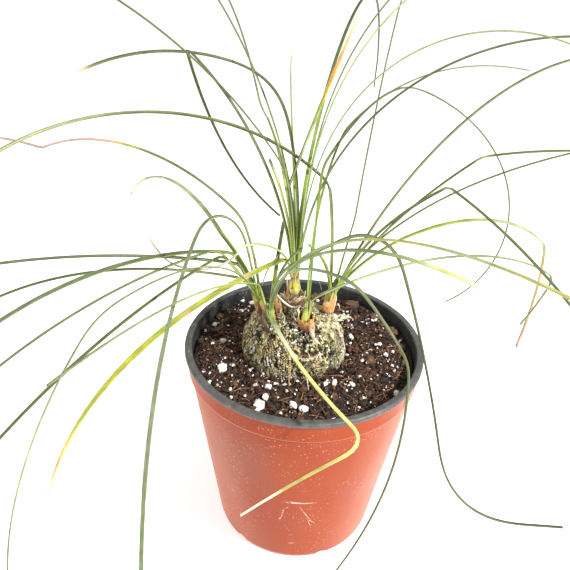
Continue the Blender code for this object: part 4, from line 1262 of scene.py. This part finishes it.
# The front tuft's dry sheath and torn fibres
add_flap(scales, ((-14.5, -7.4, 139.4), (-14.6, -7.9, 136.4), (-14.5, -8.3, 132.6),
                  (-14.1, -8.4, 128.4)),
         (0.8, 2.8, 2.4, 0.7), "amber orange rust brown", (1, -0.4, 0))
add_flap(scales, ((-12.6, -6.4, 136.0), (-12.3, -7.2, 132.5), (-11.4, -8.4, 129.5)),
         (0.4, 1.5, 0.8), "peach rust bark", (1, 0.3, 0))
for points, radius, tones in (
    # White flower stalk, tan dry strip, two rootlets, then loose fibres of the sheaths
    (((-16.1, -4, 143.2), (-15.4, -4, 140.4), (-13.6, -4.2, 136.8), (-10.6, -4.6, 134.2),
      (-7.6, -5.4, 132.2), (-5.2, -5.8, 132.3), (-2.9, -6.0, 133.9)), (0.35, 0.55, 0.4),
     "straw white cream"),
    (((-21.4, 2, 137.8), (-19.8, 2, 145.4), (-17.4, 2, 150.3), (-14.4, 2, 154.8),
      (-11.9, 2, 156.9)),
     (0.25, 0.5, 0.2), "peach straw peach"),
    (((-7.4, -23.2, 113.0), (-7.2, -25.6, 111.0), (-6.9, -27.4, 108.0), (-6.6, -29.6, 105.4)),
     (0.28, 0.32, 0.15), "amber amber straw"),
    (((1.0, -23.4, 110.0), (1.2, -25.8, 108.2), (1.6, -28.6, 106.8), (2.1, -31.4, 105.2)),
     (0.25, 0.30, 0.12), "cream cream white"),
    (((-13.4, -9, 128.4), (-12.2, -10, 130.6), (-11.6, -9, 133.4), (-12.0, -8, 136.0)),
     (0.12, 0.22, 0.10), "cream peach straw"),
    (((-10.4, -11, 127.6), (-9.6, -12, 129.4), (-10.2, -11, 131.6), (-11.6, -10, 132.4)),
     (0.12, 0.20, 0.10), "cream cream straw"),
    (((-14.6, -12, 127.2), (-12.4, -14, 126.4), (-10.2, -14, 127.2), (-8.8, -13, 129.2)),
     (0.12, 0.22, 0.10), "bark cream cream"),
    (((-4.2, -14, 130.0), (-5.4, -14, 131.6), (-6.6, -12, 132.6)), (0.15, 0.3, 0.12),
     "cream cream peach"),
    (((4.7, 20, 137.8), (6.4, 20.5, 131.0), (8.1, 20.5, 125.0)), (0.10, 0.14, 0.10),
     "straw cream rose"),
    (((17.5, -9, 118.0), (18.6, -11, 116.2), (18.4, -12.5, 114.0), (17.4, -13.5, 112.0)),
     (0.12, 0.24, 0.12), "cream white cream"),
    (((14.6, -14, 117.5), (15.8, -14.6, 116.0), (16.8, -13.6, 114.6)), (0.12, 0.22, 0.10),
     "cream peach cream"),
):
    strand = bmesh.new()
    tube(strand, points, radius, 8, [TONES[name] for name in tones.split()])
    add_batch(scales, [strand])
# A torn grey white flake of old bark and two cream curls lie by the right shoulder
for first, last, width, tones in (
    ((12.6, 18.6, 110.4), (18.6, 22.6, 109.8), 1.6, "cream white milk"),
    ((15.4, 20.2, 109.2), (24.4, 23.8, 108.6), 2.0, "white milk cream"),
    ((14.6, 17.0, 110.6), (20.4, 19.4, 109.0), 1.2, "milk cream straw"),
    ((18.4, 24.6, 109.0), (25.4, 22.2, 108.6), 1.2, "cream white pink"),
    ((13.4, 21.8, 110.0), (17.0, 24.8, 109.0), 1.4, "white cream straw"),
    ((17.4, 17.4, 109.8), (20.2, 22.4, 110.4), 1.0, "cream milk white"),
    ((20.4, 20.6, 109.2), (23.6, 24.6, 109.6), 0.9, "milk white cream"),
    ((11.6, 15.6, 112.4), (16.4, 17.6, 110.4), 1.3, "straw white cream"),
):
    middle = Vector(first).lerp(Vector(last), 0.5) + Vector((0.3, -0.4, 0.9))
    add_flap(scales, (first, middle, last), (0.8 * width, 1.5 * width, 0.5 * width), tones,
             (-0.35, 1, 0.15), 0.35)
# A brown curl of dead scale behind the knob
add_wrap(scales, (1.4, 14.4, 117.6), (1.0, 12.2, 119.6), (2.3, 2.6, 2.4), 20, 320, 0.3,
         "0 dark, 0.5 rust, 1 bark", 61.0, 0.3)
add_flap(scales, ((14.6, 14.0, 121.5), (15.8, 14.0, 123.0), (16.8, 13.4, 122.2),
                  (17.2, 12.6, 120.0)),
         (0.5, 1.3, 1.2, 0.4), "cream white cream peach", (0.2, 1, 0))
bmesh.ops.recalc_face_normals(scales, faces=scales.faces)
finish_piece("dry_scales", scales, (dry_paper,))

# Floor, lights and camera: a white studio floor under a firm key light and a large soft
# fill, and the camera where the photographer stood, close and looking down on the pot.
FLOOR_HALF = 8.0
SKY_GLOW = 0.60
CAMERA_REACH = 280.5
CAMERA_DROP = math.radians(31.65)
CAMERA_ROLL = math.radians(2.63)
CAMERA_AIM = Vector((-10.6, 0.0, 140.7))
PICTURE_HALF = 285.0
LENS_PIXELS = 610.6
PAPER_GLOW = 0.50


def stage_floor():
    """A plain pale floor."""
    bm = bmesh.new()
    bmesh.ops.create_grid(bm, x_segments=4, y_segments=4, size=FLOOR_HALF)
    mesh = bpy.data.meshes.new("studio_floor")
    bm.to_mesh(mesh)
    bm.free()
    material, tree, shader, place = new_finish("white_paper", 0.9)
    shade = ramp(tree, speckle(tree, place, 3.0), (0.3, 0.90), (0.7, 0.93))
    tree.links.new(shade, shader.inputs["Base Color"])
    tree.links.new(shade, shader.inputs["Emission Color"])
    shader.inputs["Emission Strength"].default_value = PAPER_GLOW
    mesh.materials.append(material)
    made = bpy.data.objects.new("studio_floor", mesh)
    bpy.context.scene.collection.objects.link(made)


stage_floor()
scene = bpy.context.scene
scene.view_settings.view_transform = "Standard"
world = bpy.data.worlds.new("studio")
world.use_nodes = True
world.node_tree.nodes["Background"].inputs["Color"].default_value = (1.0, 1.0, 1.0, 1.0)
world.node_tree.nodes["Background"].inputs["Strength"].default_value = SKY_GLOW
scene.world = world

# Soft boxes: name, place, size (metres), power
for name, place, size, power in (
    ("key_light", (0.88, -0.58, 1.02), 0.11, 32.0),
    ("fill_light", (-0.9, -0.6, 0.8), 0.9, 5.0),
):
    lamp = bpy.data.lights.new(name, "AREA")
    lamp.shape = "DISK"
    lamp.size = size
    lamp.energy = power
    holder = bpy.data.objects.new(name, lamp)
    aim = Vector((0.0, 0.0, 0.12)) - Vector(place)
    facing = aim.to_track_quat("-Z", "Y").to_matrix().to_4x4()
    holder.matrix_world = Matrix.Translation(place) @ facing
    scene.collection.objects.link(holder)

lens = bpy.data.cameras.new("camera")
lens.sensor_width = 36.0
lens.lens = lens.sensor_width * LENS_PIXELS / (2.0 * PICTURE_HALF)
lens.clip_start = 0.005
camera = bpy.data.objects.new("camera", lens)
ahead = Vector((0.0, math.cos(CAMERA_DROP), -math.sin(CAMERA_DROP)))
facing = ahead.to_track_quat("-Z", "Y").to_matrix().to_4x4()
camera.matrix_world = (Matrix.Translation((CAMERA_AIM - ahead * CAMERA_REACH) * MM) @ facing
                       @ Matrix.Rotation(CAMERA_ROLL, 4, "Z"))
scene.collection.objects.link(camera)
scene.camera = camera
